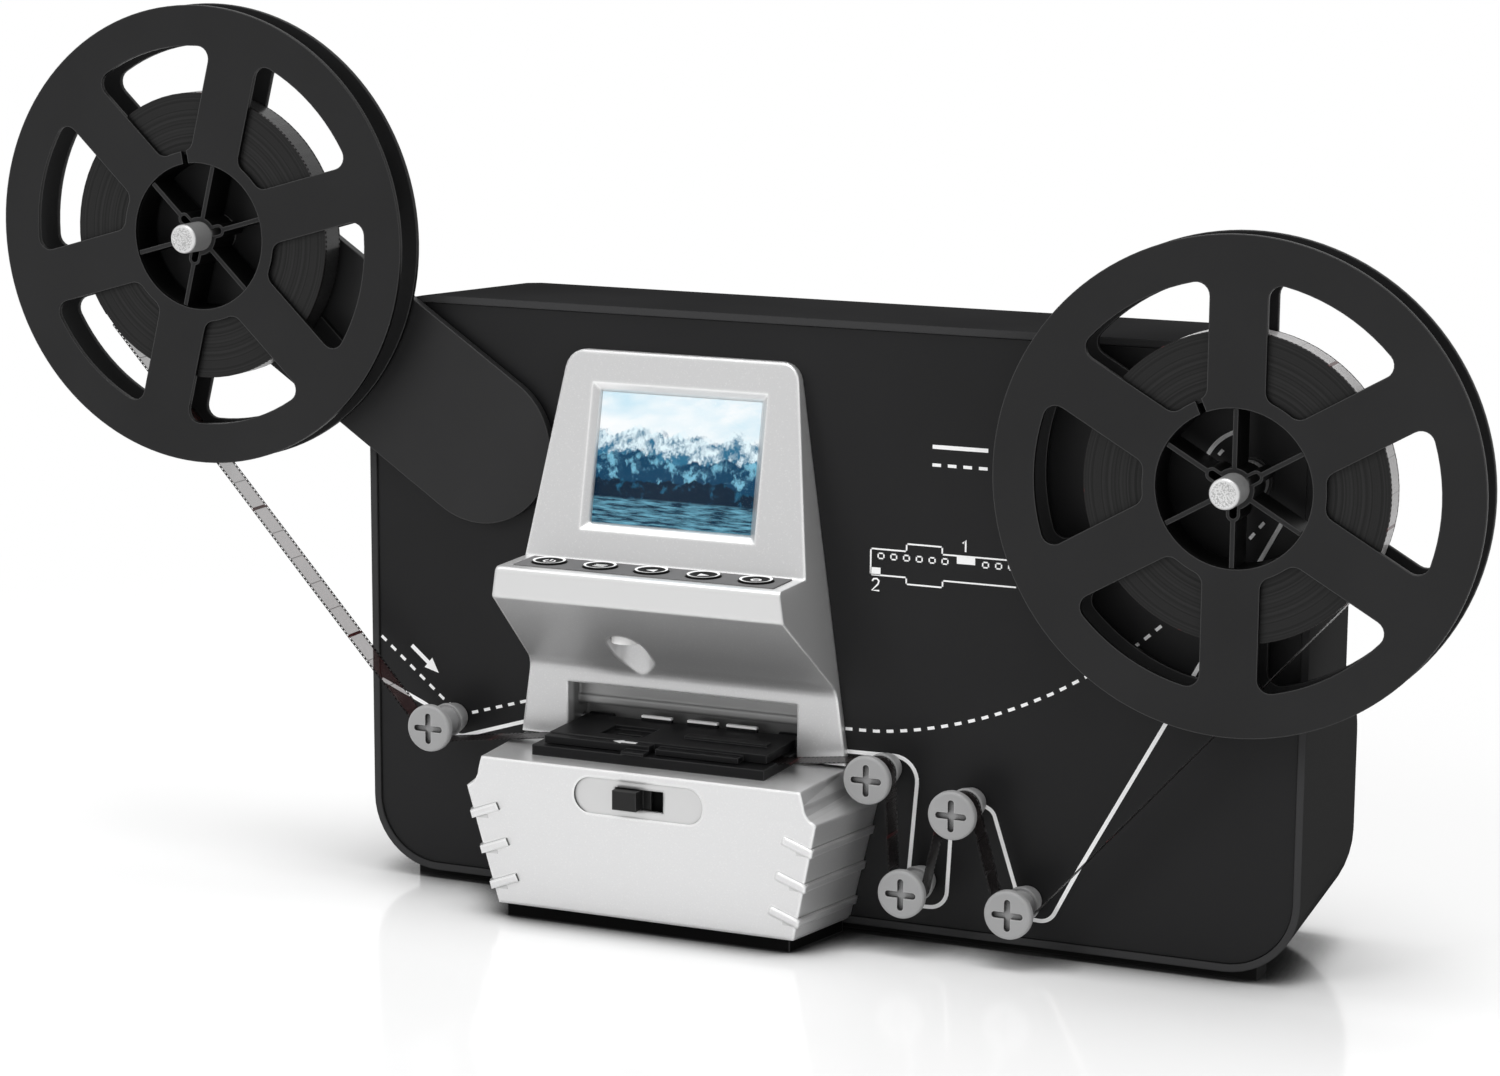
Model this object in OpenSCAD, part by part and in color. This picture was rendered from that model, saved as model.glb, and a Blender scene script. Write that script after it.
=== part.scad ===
// Film scanner: a case with a tilted screen head above a tray, a film gate between the two,
// a swinging supply arm, a belt-driven take-up reel and five rollers that lead the film.
// Millimetres. X runs to the right, Y to the back and Z up. The origin lies on the table,
// under the middle of the case and in the plane of its front rim.

/* [Case] */
// Width of the case
case_w = 269.5; // [262:0.5:300]
// Height of the case without its feet
case_h = 163.3; // [160:0.1:180]
// Depth of the upper part of the case
case_d = 38; // [37:0.5:55]
// Extra depth of the lower rear part
bulge_d = 14; // [11:0.5:25]
// Height of the lower rear part
bulge_h = 66; // [56:0.5:70]
// Radius of the rounded top edge of the lower rear part
bulge_r = 11.5; // [4:0.5:12]
// Corner radius of the front outline
case_r = 20; // [12:0.5:24]
// Corner radius at the back of the upper part
back_top_r = 34.5; // [26:0.5:36]
// Corner radius at the back of the lower part
back_low_r = 28; // [24:0.5:30]
// Wall thickness of the mouldings
wall = 2.2; // [1.8:0.1:2.5]
// Width of the rim round the front panel
rim_w = 2; // [1.5:0.1:2.5]
// Width of the ledge that the front panel sits on
ledge_w = 2; // [1.5:0.1:3]
// Depth of the front panel's face behind the rim
panel_recess = 0.6; // [0.4:0.1:1]
// Thickness of the front panel
panel_t = 2.4; // [2:0.1:3]
// Gap round set-in pieces
seam = 0.2; // [0.1:0.05:0.3]
// Gap between pieces that move past each other
run_gap = 0.3; // [0.2:0.05:0.4]
// Radial clearance of a shaft in its bearing
fit_gap = 0.05; // [0.02:0.01:0.08]
// Height of the feet
foot_h = 2.5; // [1.5:0.1:4]
// Width of each foot strip, front to back
foot_d = 9; // [6:0.5:12]
// Distance of the foot strips from the case's front and back
foot_inset = 4; // [3:0.5:8]
// Distance of the front and the rear strip's ends from the case's sides
foot_end = [12, 36]; // [6:0.5:50]

/* [Fasteners] */
// Radius of the panel screws' shanks
screw_r = 1.5; // [1.2:0.1:1.8]
// Radius of the panel screws' heads
screw_head_r = 2.8; // [2.4:0.1:3.2]
// Height of the panel screws' heads
screw_head_h = 1.8; // [1.4:0.1:2.2]
// Distance of the panel screws from the case's top and bottom
screw_inset = 13; // [12:0.5:15]
// Distance of the outer panel screws from the case's sides
screw_side = 20; // [18:0.5:22]
// Distance of the middle screws from the middle of the head
screw_mid = 38.5; // [36:0.5:44]
// Radius of the screw bosses
boss_r = 4; // [3.6:0.1:4.5]
// Length of the bosses behind the front panel
boss_len = 9; // [7:0.5:11]

/* [Head] */
// Distance of the middle of the head and the tray from the left side of the case
head_in = 96.25; // [92:0.25:100]
// Width of the head at its foot
head_w_foot = 96.6; // [90:0.2:104]
// Width of the head at its top
head_w_top = 67; // [64:0.2:76]
// Gap between the tray and the head's foot
head_gap = 0.9; // [0.5:0.1:1.5]
// Height from the head's foot to the undercut
neck_h = 20.5; // [18:0.5:23]
// Height of the undercut
undercut_h = 23.5; // [20:0.5:27]
// Height of the shelf's front face
lip_h = 8.1; // [6:0.1:10]
// Height of the screen face
face_h = 55.4; // [52:0.2:60]
// Distance of the head's foot in front of the rim
neck_y = 1.8; // [1.8:0.1:3]
// Distance of the shelf's front in front of the rim
shelf_y = 31; // [29:0.5:34]
// Distance of the screen face's lower edge in front of the rim
face_y = 13.4; // [12:0.2:15]
// Distance of the screen face's upper edge in front of the rim
face_top_y = 1.3; // [1:0.1:3]
// Radius of the head's upper corners
head_corner_r = 5.5; // [3:0.5:8]
// Radius of the shelf's edges
shelf_edge_r = 1.4; // [0.8:0.1:2]
// Radius of the bend between neck and undercut
bend_r = 7; // [4:0.5:9]

/* [Screen] */
// Width of the visible screen
screen_w = 46.8; // [44:0.2:50]
// Height of the visible screen
screen_h = 35.3; // [33:0.1:38]
// Width of the bevel round the screen
bevel_w = 2.3; // [1.5:0.1:3]
// Height of the screen's middle above the shelf, along the screen face
screen_up = 28.2; // [26:0.2:29]
// Thickness of the clear window
window_t = 1; // [0.8:0.1:1.5]
// Thickness of the display module
lcd_t = 3; // [2:0.1:4]
// Overlap of the window behind the bevel
window_lap = 1; // [0.6:0.1:1.5]

/* [Buttons] */
// Radius of a button
button_r = 4.6; // [4:0.1:5]
// Distance between buttons
button_pitch = 15.1; // [14.4:0.1:15.4]
// Distance of the buttons in front of the rim
button_y = 20.8; // [20:0.1:21.5]
// Height of a button above the shelf
button_proud = 0.8; // [0.5:0.1:1.2]
// Travel of a button
button_travel = 0.6; // [0.4:0.05:0.6]
// Width of the dark strip round the buttons, front to back
strip_d = 12.6; // [11.5:0.1:13.5]
// Thickness of the strip
strip_t = 0.8; // [0.6:0.1:1]
// Depth of the strip's seat in the shelf
strip_sunk = 0.5; // [0.3:0.1:0.6]
// Height of a push switch on its board
tact_h = 2.2; // [1.6:0.1:2.4]
// Thickness of the circuit boards
board_t = 1.6; // [1.2:0.1:1.8]

/* [Tray] */
// Height of the tray's lower edge
tray_z0 = 4; // [3:0.1:5]
// Height of the tray's widest line
tray_belt_z = 37; // [35:0.5:38]
// Height where the tray's side turns up to its lip
tray_neck_z = 42; // [41:0.5:42.5]
// Turn of the cove between the tray's neck and its widest level, in degrees
cove_turn = 64; // [50:2:76]
// Height of the tray's top
tray_top = 45.5; // [44:0.1:47]
// Distance of the tray's lower front edge in front of the rim
tray_y0 = 25.8; // [24:0.2:27]
// Distance of the tray's upper front in front of the rim
tray_y = 29.5; // [28.5:0.1:31]
// Width of the tray's front at the bottom, the widest line, the neck and the top
tray_front_w = [87, 102.2, 95.2, 93.4]; // [80:0.2:110]
// Width of the tray's rear at the bottom, the widest line, the neck and the top
tray_rear_w = [98, 113.4, 102, 96.8]; // [80:0.2:120]
// Heights of the three corner ribs
rib_z = [9.2, 19.2, 29.2]; // [8:0.5:34]
// Height of a rib
rib_h = 2.2; // [1.5:0.1:3]
// How far a rib stands out
rib_out = 0.8; // [0.5:0.1:1.2]
// Length of a rib on the front face
rib_len = 8; // [5:0.5:12]
// Slant of a rib on the front face
rib_tilt = 21; // [0:1:30]
// Distance of the base from the tray's outside
base_inset = 1.7; // [1:0.1:2]

/* [Mode switch] */
// Width of the oval recess
recess_w = 37.7; // [34:0.1:40]
// Height of the oval recess
recess_h = 10.1; // [9:0.1:11]
// Depth of the oval recess
recess_d = 0.9; // [0.5:0.1:1.1]
// Height of the switch's middle
switch_z = 38.1; // [37:0.1:38.5]
// Width of the slot
slot_w = 14.1; // [12:0.1:16]
// Height of the slot
slot_h = 5.9; // [5:0.1:6.5]
// Width of the knob
knob_w = 7; // [6:0.1:8]
// How far the knob stands out of the tray's face
knob_out = 1.7; // [1:0.1:2.5]
// Gap round the knob in its slot
knob_gap = 0.3; // [0.2:0.05:0.4]

/* [Film] */
// Width of the film
film_w = 8; // [7.9:0.05:8]
// Thickness of the film strip
film_t = 0.2; // [0.14:0.02:0.24]
// Distance of the film's middle in front of the rim
film_y = 9.2; // [9:0.1:9.6]

/* [Film gate] */
// Width of the gate slot in the head
gate_slot_w = 68.4; // [67:0.2:71]
// Height of the gate slot above the tray
gate_slot_h = 16.2; // [14:0.2:18]
// Depth of the pocket behind the rim
pocket_d = 12; // [11:0.2:13]
// Wall of the pocket
pocket_wall = 1.6; // [1.2:0.1:2]
// Depth of the slot behind the rim, above the gate
brow_y = 4.8; // [4.4:0.1:5.2]
// Height above the tray of the opening at the slot's rear that takes the gate
brow_h = 8.9; // [8.7:0.1:9.6]
// Height of the band along the lower edge of the slot's rear wall
brow_band = 2.4; // [2:0.1:3]
// Step from that band back to the wall above it
brow_step = 0.5; // [0.3:0.1:0.8]
// Width of the gate's base
gate_w = 66.8; // [65:0.2:66.8]
// Distance of the base's front edge in front of the rim
gate_front = 22.2; // [21.5:0.1:23]
// Reach of the base past its width on the left, in front of the head
gate_ext = 1.6; // [1:0.1:2]
// Thickness of the base
gate_base_t = 2.8; // [2.4:0.1:3.2]
// Depth of the film channel
channel_d = 0.5; // [0.4:0.05:0.6]
// Width of the cover
cover_w = 65; // [63:0.2:65]
// Thickness of the cover
cover_t = 2.3; // [2:0.1:2.6]
// Distance of the cover's front edge in front of the rim
cover_front = 19.6; // [19:0.1:20]
// Distance of the hinge axis behind the rim
hinge_y = 8; // [7.5:0.1:8.5]
// Radius of the hinge pins
hinge_r = 0.9; // [0.7:0.1:1]
// Middle of the picture aperture, to the left of the head's middle
aperture_off = 13; // [11:0.5:15]
// Width and height of the picture aperture
aperture = [6.2, 4.6]; // [3:0.1:8]
// Radius of the round ends of the lamp port in the undercut
port_r = 5.5; // [5:0.1:5.8]
// Distance of the port's round ends from its middle
port_long = 2; // [1.6:0.1:2.2]
// Middle of the port from the aperture's middle, to the right and to the back
port_at = [1.6, -0.6]; // [-1:0.1:2]
// Radius of the lamp that hangs into the port
lamp_r = 4.2; // [3.8:0.1:4.6]
// Length of the lamp below the port's top
lamp_h = 4.6; // [4:0.1:5]
// Height of the port's flat top above the tray
port_h = 35.5; // [35:0.1:36]
// Thickness of the lamp's diffuser
diffuser_t = 1.5; // [1:0.1:2]
// Radius of the lens barrel
lens_r = 7; // [6:0.2:7.5]
// Length of the lens barrel
lens_len = 23; // [20:0.5:25]
// Stroke of the film claw to each side
claw_stroke = 2.1; // [1.5:0.1:2.3]
// Width of the pull-down unit
unit_w = 27; // [24:0.5:28]
// Length of the claw's slide
slide_len = 18; // [15:0.5:19]

/* [Reels] */
// Radius of a reel
reel_r = 63.5; // [55:0.5:64]
// Thickness of a reel's flange
flange_t = 1.2; // [1:0.1:1.4]
// Room between the flanges
reel_gap = 8.4; // [8.4:0.1:8.8]
// Radius of the opening in the middle of the front flange
hub_open_r = 20.3; // [18:0.1:21]
// Radius of the core that the film winds on
core_r = 22.8; // [22:0.1:24]
// Inner radius of the flange windows
window_in_r = 23.8; // [23.5:0.1:26]
// Outer radius of the flange windows
window_out_r = 52.4; // [46:0.2:53]
// Width of a spoke
spoke_w = 15; // [12:0.5:18]
// Number of spokes
spokes = 6; // [5:1:7]
// Radius of the windows' corners
window_fillet = 3.4; // [1:0.1:3.6]
// Outer radius of the boss on the spindle
hub_boss_r = 5.3; // [5.2:0.1:6]
// Reach of the three key slots of the boss
key_reach = 7.5; // [6.5:0.1:9]
// Width of a key slot
key_w = 2; // [1.6:0.1:2.4]
// Thickness of the hub's ribs
hub_rib_t = 1.25; // [1:0.05:2]
// Depth of the hub's ribs behind the front flange's face
hub_rib_recess = 0.4; // [0.2:0.1:4]
// Width of the slit that takes the film's end
slit_w = 1.7; // [1.2:0.1:2.4]
// Radius of the film roll
roll_r = 39.4; // [30:0.2:44]
// Radius of the spindles
spindle_r = 4.05; // [3.5:0.05:4.2]
// Length of a spindle in front of its reel
spindle_tip = 8.4; // [5:0.1:10]
// Radius of a spindle's rear shaft
shaft_r = 3; // [2.5:0.1:3.2]
// Distance of the take-up spindle from the case's right side
takeup_in = 16.75; // [15.8:0.05:22]
// Distance of the take-up spindle below the case's top
takeup_down = 34; // [30:0.1:38]

/* [Supply arm] */
// Distance of the arm's pivot from the case's left side
pivot_in = 36; // [33:0.5:40]
// Distance of the arm's pivot below the case's top
pivot_down = 40.5; // [38:0.5:44]
// Distance from the pivot to the supply spindle
arm_len = 98; // [95:0.5:110]
// Rise of the arm from the pivot to the spindle
arm_angle = 34.1; // [30:0.5:40]
// Width of the arm
arm_w = 42.8; // [36:0.2:46]
// Thickness of the arm
arm_t = 2.5; // [2.2:0.1:2.5]
// Gap between the arm and the case's rim
arm_gap = 0.4; // [0.3:0.05:0.5]
// Radius of the arm's pivot boss
pivot_r = 10; // [8:0.2:12]
// Radius of the washer behind the panel
retainer_r = 14; // [13.5:0.2:16]
// Thickness of the washer
retainer_t = 1.6; // [1.2:0.1:2]
// Radius of the spindle boss behind the arm
arm_boss_r = 9; // [8:0.2:11]
// Length of the spindle boss behind the arm
arm_boss_len = 7; // [5:0.5:10]

/* [Rollers] */
// Radius of a roller's front flange
roller_r = 6.55; // [6:0.05:7]
// Thickness of a roller's front flange
roller_flange_t = 2.4; // [2:0.1:2.5]
// Radius of a roller's hub
hub_r = 3.9; // [3.4:0.1:4.4]
// Depth of the hub's hollow
hub_hollow = 0.3; // [0:0.05:0.5]
// Radius of a roller's rear collar
collar_r = 4.7; // [4.5:0.1:5.2]
// Radius of the roller pins
pin_r = 1.5; // [1.2:0.1:1.8]
// Span of the cross in a roller's front
cross_span = 8.6; // [7:0.1:9.5]
// Width of the cross's arms
cross_w = 1.7; // [1.3:0.1:2.2]
// Depth of the cross
cross_d = 1.1; // [0.8:0.1:1.3]
// Distance of the first roller from the case's left side
roller_1_in = 25.9; // [24:0.1:28]
// Height of the first roller
roller_1_z = 47.6; // [46:0.1:49]
// Places of the other rollers: right of the head's middle, and height
roller_at = [[59.7, 46.9], [69.8, 17.1], [83.6, 40], [99.6, 15.1]]; // [10:0.1:110]

/* [Drive] */
// Radius of the take-up pulley
pulley_r = 12; // [10:0.2:12.5]
// Radius of the motor's pulley
motor_pulley_r = 4.5; // [4:0.1:6]
// Width of the pulleys
pulley_w = 5; // [4.6:0.1:5.4]
// Thickness of the belt
belt_t = 1.4; // [1.2:0.1:1.6]
// Width of the belt
belt_w = 2.4; // [2:0.1:2.6]
// Distance from the motor to the take-up spindle
motor_off = 44; // [38:0.5:48]
// Distance of the drive plate behind the front panel
plate_off = 13; // [12.5:0.1:14]
// Thickness of the drive plate
plate_t = 1.5; // [1.2:0.1:2]
// Radius of the motor
motor_r = 11; // [9:0.2:12]
// Length of the motor
motor_len = 16; // [12:0.5:17]

/* [Boards and sockets] */
// Width of the main board
main_w = 92; // [80:1:96]
// Height of the main board
main_h = 46; // [40:1:48]
// Gap between the arm's washer and the main board
board_gap = 8; // [6:0.5:12]
// Distance of the main board's middle below the arm's pivot
main_down = 21.5; // [18:0.5:24]
// Height of the sockets' board above the case's floor
io_up = 9; // [7:0.5:12]
// Width of the sockets' board
io_w = 78; // [76:1:84]
// Depth of the sockets' board
io_d = 22; // [20:0.5:25]
// Radius of the power jack's sleeve
jack_r = 4.4; // [4.2:0.1:4.8]
// Radius of the power jack's bore
jack_bore_r = 2.75; // [2.6:0.05:3]
// Radius of the power jack's centre pin
jack_pin_r = 1.05; // [0.9:0.05:1.2]
// Length of the power jack
jack_len = 12; // [10:0.5:14]

/* [Hidden] */
$fn = 64;

// Reach of a cut past the face it opens
cut = 1;
// Colours of the pieces
black = "#1e1e20";
silver = "#c9c9c9";
pale = "#e4e4e4";
grey = "#9a9a9a";
board_green = "#2f5d3a";

// Heights and depths of the case
case_top = foot_h + case_h;
case_mid = foot_h + case_h / 2;
case_left = -case_w / 2;
case_right = case_w / 2;
case_back = case_d + bulge_d;
bulge_top = foot_h + bulge_h;
seat_y = panel_recess + panel_t;
ledge_t = 2;
boss_y = seat_y + boss_len;

// Places of the panel screws, as [x, z]
screw_places = [for (x = [case_left + screw_side, case_left + head_in + screw_mid, case_right - screw_side],
    z = [foot_h + screw_inset, case_top - screw_inset]) [x, z]];

// Heights of the head
head_x = case_left + head_in;
head_z0 = tray_top + head_gap;
neck_z = head_z0 + neck_h;
lip_z = neck_z + undercut_h;
shelf_z = lip_z + lip_h;
head_top = shelf_z + face_h;
screen_tilt = atan((face_y - face_top_y) / face_h);

// Heights under the button shelf
button_flange_t = 1;
button_flange_z = shelf_z - wall - run_gap - button_flange_t;
tact_z = button_flange_z - button_travel - fit_gap * 3;
button_board_z = tact_z - tact_h - board_t;

// Heights and depths of the gate
gate_top = tray_top + gate_base_t;
film_z = gate_top - channel_d + film_t * 0.75;
cover_z = gate_top + run_gap;
cover_top = cover_z + cover_t;
slot_top = tray_top + gate_slot_h;
brow_z = tray_top + brow_h;
hinge_z = cover_z + cover_t / 2;
gate_rear = pocket_d - pocket_wall - run_gap;
aperture_x = head_x - aperture_off;
port_top = tray_top + port_h;
port_mid = [aperture_x, -film_y] + port_at;

// Depths of the reels, front to back
reel_w = reel_gap + 2 * flange_t;
reel_front = -film_y - reel_w / 2;
reel_rear = -film_y + reel_w / 2;
arm_front = -arm_gap - arm_t;

// Axes of the arm and the reels, as [x, z]
pivot_at = [case_left + pivot_in, case_top - pivot_down];
supply_at = pivot_at + arm_len * [-cos(arm_angle), sin(arm_angle)];
takeup_at = [case_right - takeup_in, case_top - takeup_down];
supply_phase = -14;
takeup_phase = 0;

// Rollers, as [x, z], and their depths
rollers = concat([[case_left + roller_1_in, roller_1_z]], [for (p = roller_at) p + [head_x, 0]]);
roller_back = panel_recess - run_gap;
roller_front = -film_y - film_w / 2 - run_gap - roller_flange_t;
collar_front = -film_y + film_w / 2 + run_gap;

// The film's way, as wheels [x, z, radius, side]; side is 1 where the wheel lies to the left
lip_r = 2;
film_hub_r = hub_r + run_gap;
film_roll_r = roll_r + run_gap;
supply_wheel = [supply_at.x, supply_at.y, film_roll_r, 1];
takeup_wheel = [takeup_at.x, takeup_at.y, film_roll_r, 1];
entry_wheel = [head_x - gate_w / 2 - gate_ext, film_z - lip_r, lip_r, -1];
exit_wheel = [head_x + gate_w / 2, film_z + film_t + lip_r, lip_r, 1];
roller_wheels = [for (i = [0:4]) [rollers[i].x, rollers[i].y, film_hub_r, i % 2 == 0 ? 1 : -1]];
lead_wheels = [supply_wheel, roller_wheels[0]];
run_wheels = [supply_wheel, roller_wheels[0], entry_wheel, exit_wheel, roller_wheels[1],
    roller_wheels[2], roller_wheels[3], roller_wheels[4], takeup_wheel];

// Depths of the take-up drive
plate_y = seat_y + plate_off;
pulley_y = plate_y - run_gap - pulley_w;
motor_at = takeup_at - [motor_off, 0];
groove_d = belt_t;
belt_wheels = [[takeup_at.x, takeup_at.y, pulley_r - groove_d + run_gap, 1],
    [motor_at.x, motor_at.y, motor_pulley_r - groove_d + run_gap, 1]];

// Places of the boards and sockets
main_at = [pivot_at.x + retainer_r + board_gap + main_w / 2, pivot_at.y - main_down];
main_y = boss_y + 1;
io_x = case_left + screw_side + boss_r + 6;
io_z = foot_h + wall + io_up;
io_y = case_back - wall - seam - io_d;
socket_z = io_z + board_t;
jack_z = socket_z + jack_r;
jack_x = io_x + 10;
usb_size = [8, 9, 4];
usb_x = io_x + 32;
card_size = [27, 20, 4];
card_x = io_x + 58;

// A plate with its outline drawn in x and z, from y0 back to y1
module slab_y(y0, y1) translate([0, y1, 0]) rotate([90, 0, 0]) linear_extrude(y1 - y0) children();

// A bar with its section drawn in y and z, from x0 right to x1
module slab_x(x0, x1) translate([x0, 0, 0]) rotate([90, 0, 90]) linear_extrude(x1 - x0) children();

// A round bar along Y about [x, z]
module bar_y(at, r, y0, y1) translate([at.x, y0, at.y]) rotate([-90, 0, 0]) cylinder(r = r, h = y1 - y0);

// A round bar along Z about [x, y]
module bar_z(at, r, z0, z1) translate([at.x, at.y, z0]) cylinder(r = r, h = z1 - z0);

// A block between two corners
module block(low, high) translate(low) cube(high - low);

// A rectangle with round corners, about its middle
module round_rect(w, h, r) {
    square([w - 2 * r, h], center = true);
    square([w, h - 2 * r], center = true);
    for (sx = [-1, 1], sy = [-1, 1])
        translate([sx * (w / 2 - r), sy * (h / 2 - r)]) circle(r);
}

// A bar with round ends about two points
module link(a, b, r) {
    d = b - a;
    translate(a) circle(r);
    translate(b) circle(r);
    translate(a) rotate(atan2(d.y, d.x)) translate([0, -r]) square([norm(d), 2 * r]);
}

// A solid between level sections, each [z, points]
module loft(sections) {
    n = len(sections[0][1]);
    last = (len(sections) - 1) * n;
    points = [for (s = sections, p = s[1]) [p.x, p.y, s[0]]];
    sides = [for (k = [0:len(sections) - 2], i = [0:n - 1]) let (a = k * n + i, b = k * n + (i + 1) % n)
        each [[a, a + n, b + n], [a, b + n, b]]];
    polyhedron(points, concat([[for (i = [0:n - 1]) i]], sides, [[for (i = [n - 1:-1:0]) last + i]]));
}

// Points along an arc
function arc(c, r, a0, a1, n) = [for (i = [0:n]) let (a = a0 + (a1 - a0) * i / n) c + r * [cos(a), sin(a)]];

// An outline moved inwards by d; the points run counter-clockwise
function inset(p, d) = [for (i = [0:len(p) - 1]) let (
    before = p[(i + len(p) - 1) % len(p)], here = p[i], after = p[(i + 1) % len(p)],
    u = (here - before) / norm(here - before), v = (after - here) / norm(after - here),
    m = [-u.y, u.x], n = [-v.y, v.x]) here + d * (m + n) / (1 + m * n)];

// An outline with its corners rounded to the radii given
function fillet(p, radii, steps = 5) = [for (i = [0:len(p) - 1]) let (
    before = p[(i + len(p) - 1) % len(p)], here = p[i], after = p[(i + 1) % len(p)],
    u = (here - before) / norm(here - before), v = (after - here) / norm(after - here),
    turn = atan2(u.x * v.y - u.y * v.x, u * v), way = sign(turn), r = radii[i],
    start = here - u * r * tan(abs(turn) / 2), a = atan2(u.y, u.x) - way * 90)
    each (r == 0 ? [here] : arc(start + way * r * [-u.y, u.x], r, a, a + turn, steps))];

// Direction of the straight run from one wheel to the next
function heading(a, b) = let (d = [b[0] - a[0], b[1] - a[1]])
    atan2(d.y, d.x) - asin((b[3] * b[2] - a[3] * a[2]) / norm(d));

// Where a strip with this heading lies on a wheel
function touch(w, h) = [w[0], w[1]] + w[3] * w[2] * [sin(h), -cos(h)];

// A wheel as one face of a strip of thickness t meets it; deep is 0 on the strip's left face
function worn(w, t, deep) = [w[0], w[1], w[2] + (w[3] > 0 ? deep : t - deep), w[3]];

// One face of a strip that runs over the wheels, from the first straight run's end to the last's
function strip_face(wheels, t, deep, steps = 8) = let (w = [for (x = wheels) worn(x, t, deep)])
    [for (i = [1:len(w) - 1]) let (h0 = heading(w[i - 1], w[i]),
        h1 = i < len(w) - 1 ? heading(w[i], w[i + 1]) : h0, n = i < len(w) - 1 ? steps : 0)
        each (n == 0 ? [touch(w[i], h0)] : [for (k = [0:n]) touch(w[i], h0 + (h1 - h0) * k / n)])];

function reversed(list) = [for (i = [len(list) - 1:-1:0]) list[i]];

// Outline of the case in x and z
module case_outline(by) translate([0, case_mid]) round_rect(case_w - 2 * by, case_h - 2 * by, case_r - by);

// Points of the case's outline with its own radii for the upper and the lower corners
function case_points(by, top_r, low_r) = let (w = case_w / 2 - by, low = foot_h + by, high = case_top - by)
    concat(arc([low_r - w, low + low_r], low_r, 180, 270, 12),
        arc([w - low_r, low + low_r], low_r, 270, 360, 12),
        arc([w - top_r, high - top_r], top_r, 0, 90, 12),
        arc([top_r - w, high - top_r], top_r, 90, 180, 12));

// Corner radius of the case at depth y, from the radius it reaches at another depth
function corner_at(y, r, depth) = case_r + (r - case_r) * y / depth;

// Where the case ends at the back at height z
function back_at(z) = z < bulge_top - bulge_r ? case_back : case_d;

// The case from depth y0 back: corners that widen to the back, and the step above the lower rear part
module case_solid(by, y0) difference() {
    rotate([90, 0, 0]) loft([for (y = [case_back - by, y0]) let (
        top_r = corner_at(y, back_top_r, case_d), low_r = corner_at(y, back_low_r, case_back))
        [-y, case_points(by, top_r - by, low_r - by)]]);
    slab_x(case_left - cut, case_right + cut) polygon(concat(
        [[case_back + cut, case_top + cut], [case_d - by, case_top + cut], [case_d - by, bulge_top - by]],
        arc([case_back - by - bulge_r, bulge_top - by - bulge_r], bulge_r, 90, 0, 8),
        [[case_back + cut, bulge_top - by - bulge_r]]));
}

// Black tub with the rim round the front panel, screw columns and openings for the sockets
module rear_case() color(black) difference() {
    union() {
        difference() {
            case_solid(0, 0);
            case_solid(wall, seat_y + ledge_t);
            slab_y(-cut, seat_y + ledge_t + cut) case_outline(rim_w + ledge_w);
            slab_y(-cut, seat_y) case_outline(rim_w);
        }
        for (p = screw_places) bar_y(p, boss_r, boss_y, back_at(p.y) - wall / 2);
        for (x = [io_x + 4, io_x + io_w - 4], y = [io_y + 4, io_y + io_d - 6])
            bar_z([x, y], 2.5, foot_h + wall / 2, io_z);
    }
    for (p = screw_places) {
        bar_y(p, screw_r + fit_gap, boss_y - cut, case_back + cut);
        bar_y(p, screw_head_r + seam, back_at(p.y) - screw_head_h, case_back + cut);
    }
    bar_y([jack_x, jack_z], jack_r + seam, case_back - 2 * wall, case_back + cut);
    for (s = [[usb_x, usb_size], [card_x, card_size]])
        block([s[0] - s[1].x / 2 - seam, case_back - 2 * wall, socket_z - seam],
            [s[0] + s[1].x / 2 + seam, case_back + cut, socket_z + s[1].z + seam]);
}

// Flat panel set into the rim, with the openings behind the head and the tray
module front_panel() color("#262627") difference() {
    union() {
        slab_y(panel_recess, seat_y) case_outline(rim_w + seam);
        for (p = screw_places) bar_y(p, boss_r, seat_y - cut, boss_y);
        for (p = board_posts) bar_y(p, 3, seat_y - cut, main_y);
        for (p = plate_posts) bar_y(p, 3, seat_y - cut, plate_y);
    }
    for (p = screw_places) bar_y(p, screw_r + fit_gap, seat_y, boss_y + cut);
    for (p = rollers) bar_y(p, pin_r + fit_gap, -cut, seat_y + cut);
    bar_y(pivot_at, pivot_r + fit_gap, -cut, seat_y + cut);
    bar_y(takeup_at, bush_r + fit_gap, -cut, seat_y + cut);
    block([head_x - gate_slot_w / 2 - pocket_wall - seam, -cut, tray_top - seam],
        [head_x + gate_slot_w / 2 + pocket_wall + seam, seat_y + cut, slot_top + pocket_wall + seam]);
    block([head_x - screen_w / 2 - 4, -cut, lip_z], [head_x + screen_w / 2 + 4, seat_y + cut, head_top - 8]);
}

// Posts behind the front panel for the main board and the drive plate, as [x, z]
board_posts = [for (sx = [-1, 1], sz = [-1, 1]) main_at + [sx * (main_w / 2 - 4), sz * (main_h / 2 - 4)]];
plate_posts = [motor_at + [-motor_r - 6, 0], motor_at + [motor_off / 2, motor_r + 8],
    motor_at + [motor_off / 2, -motor_r - 8]];
bush_r = shaft_r + 2;

// Screws from the back that draw the panel into the case
module panel_screws() color("#8c8c8c") for (p = screw_places) {
    bar_y(p, screw_r, boss_y - boss_len + seam, back_at(p.y) - screw_head_h + seam);
    difference() {
        bar_y(p, screw_head_r, back_at(p.y) - screw_head_h, back_at(p.y));
        for (turn = [0, 90]) translate([p.x, back_at(p.y), p.y]) rotate([0, turn, 0])
            cube([screw_head_r * 1.3, screw_head_h, 0.8], center = true);
    }
}

foot_rise = 3;

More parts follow.
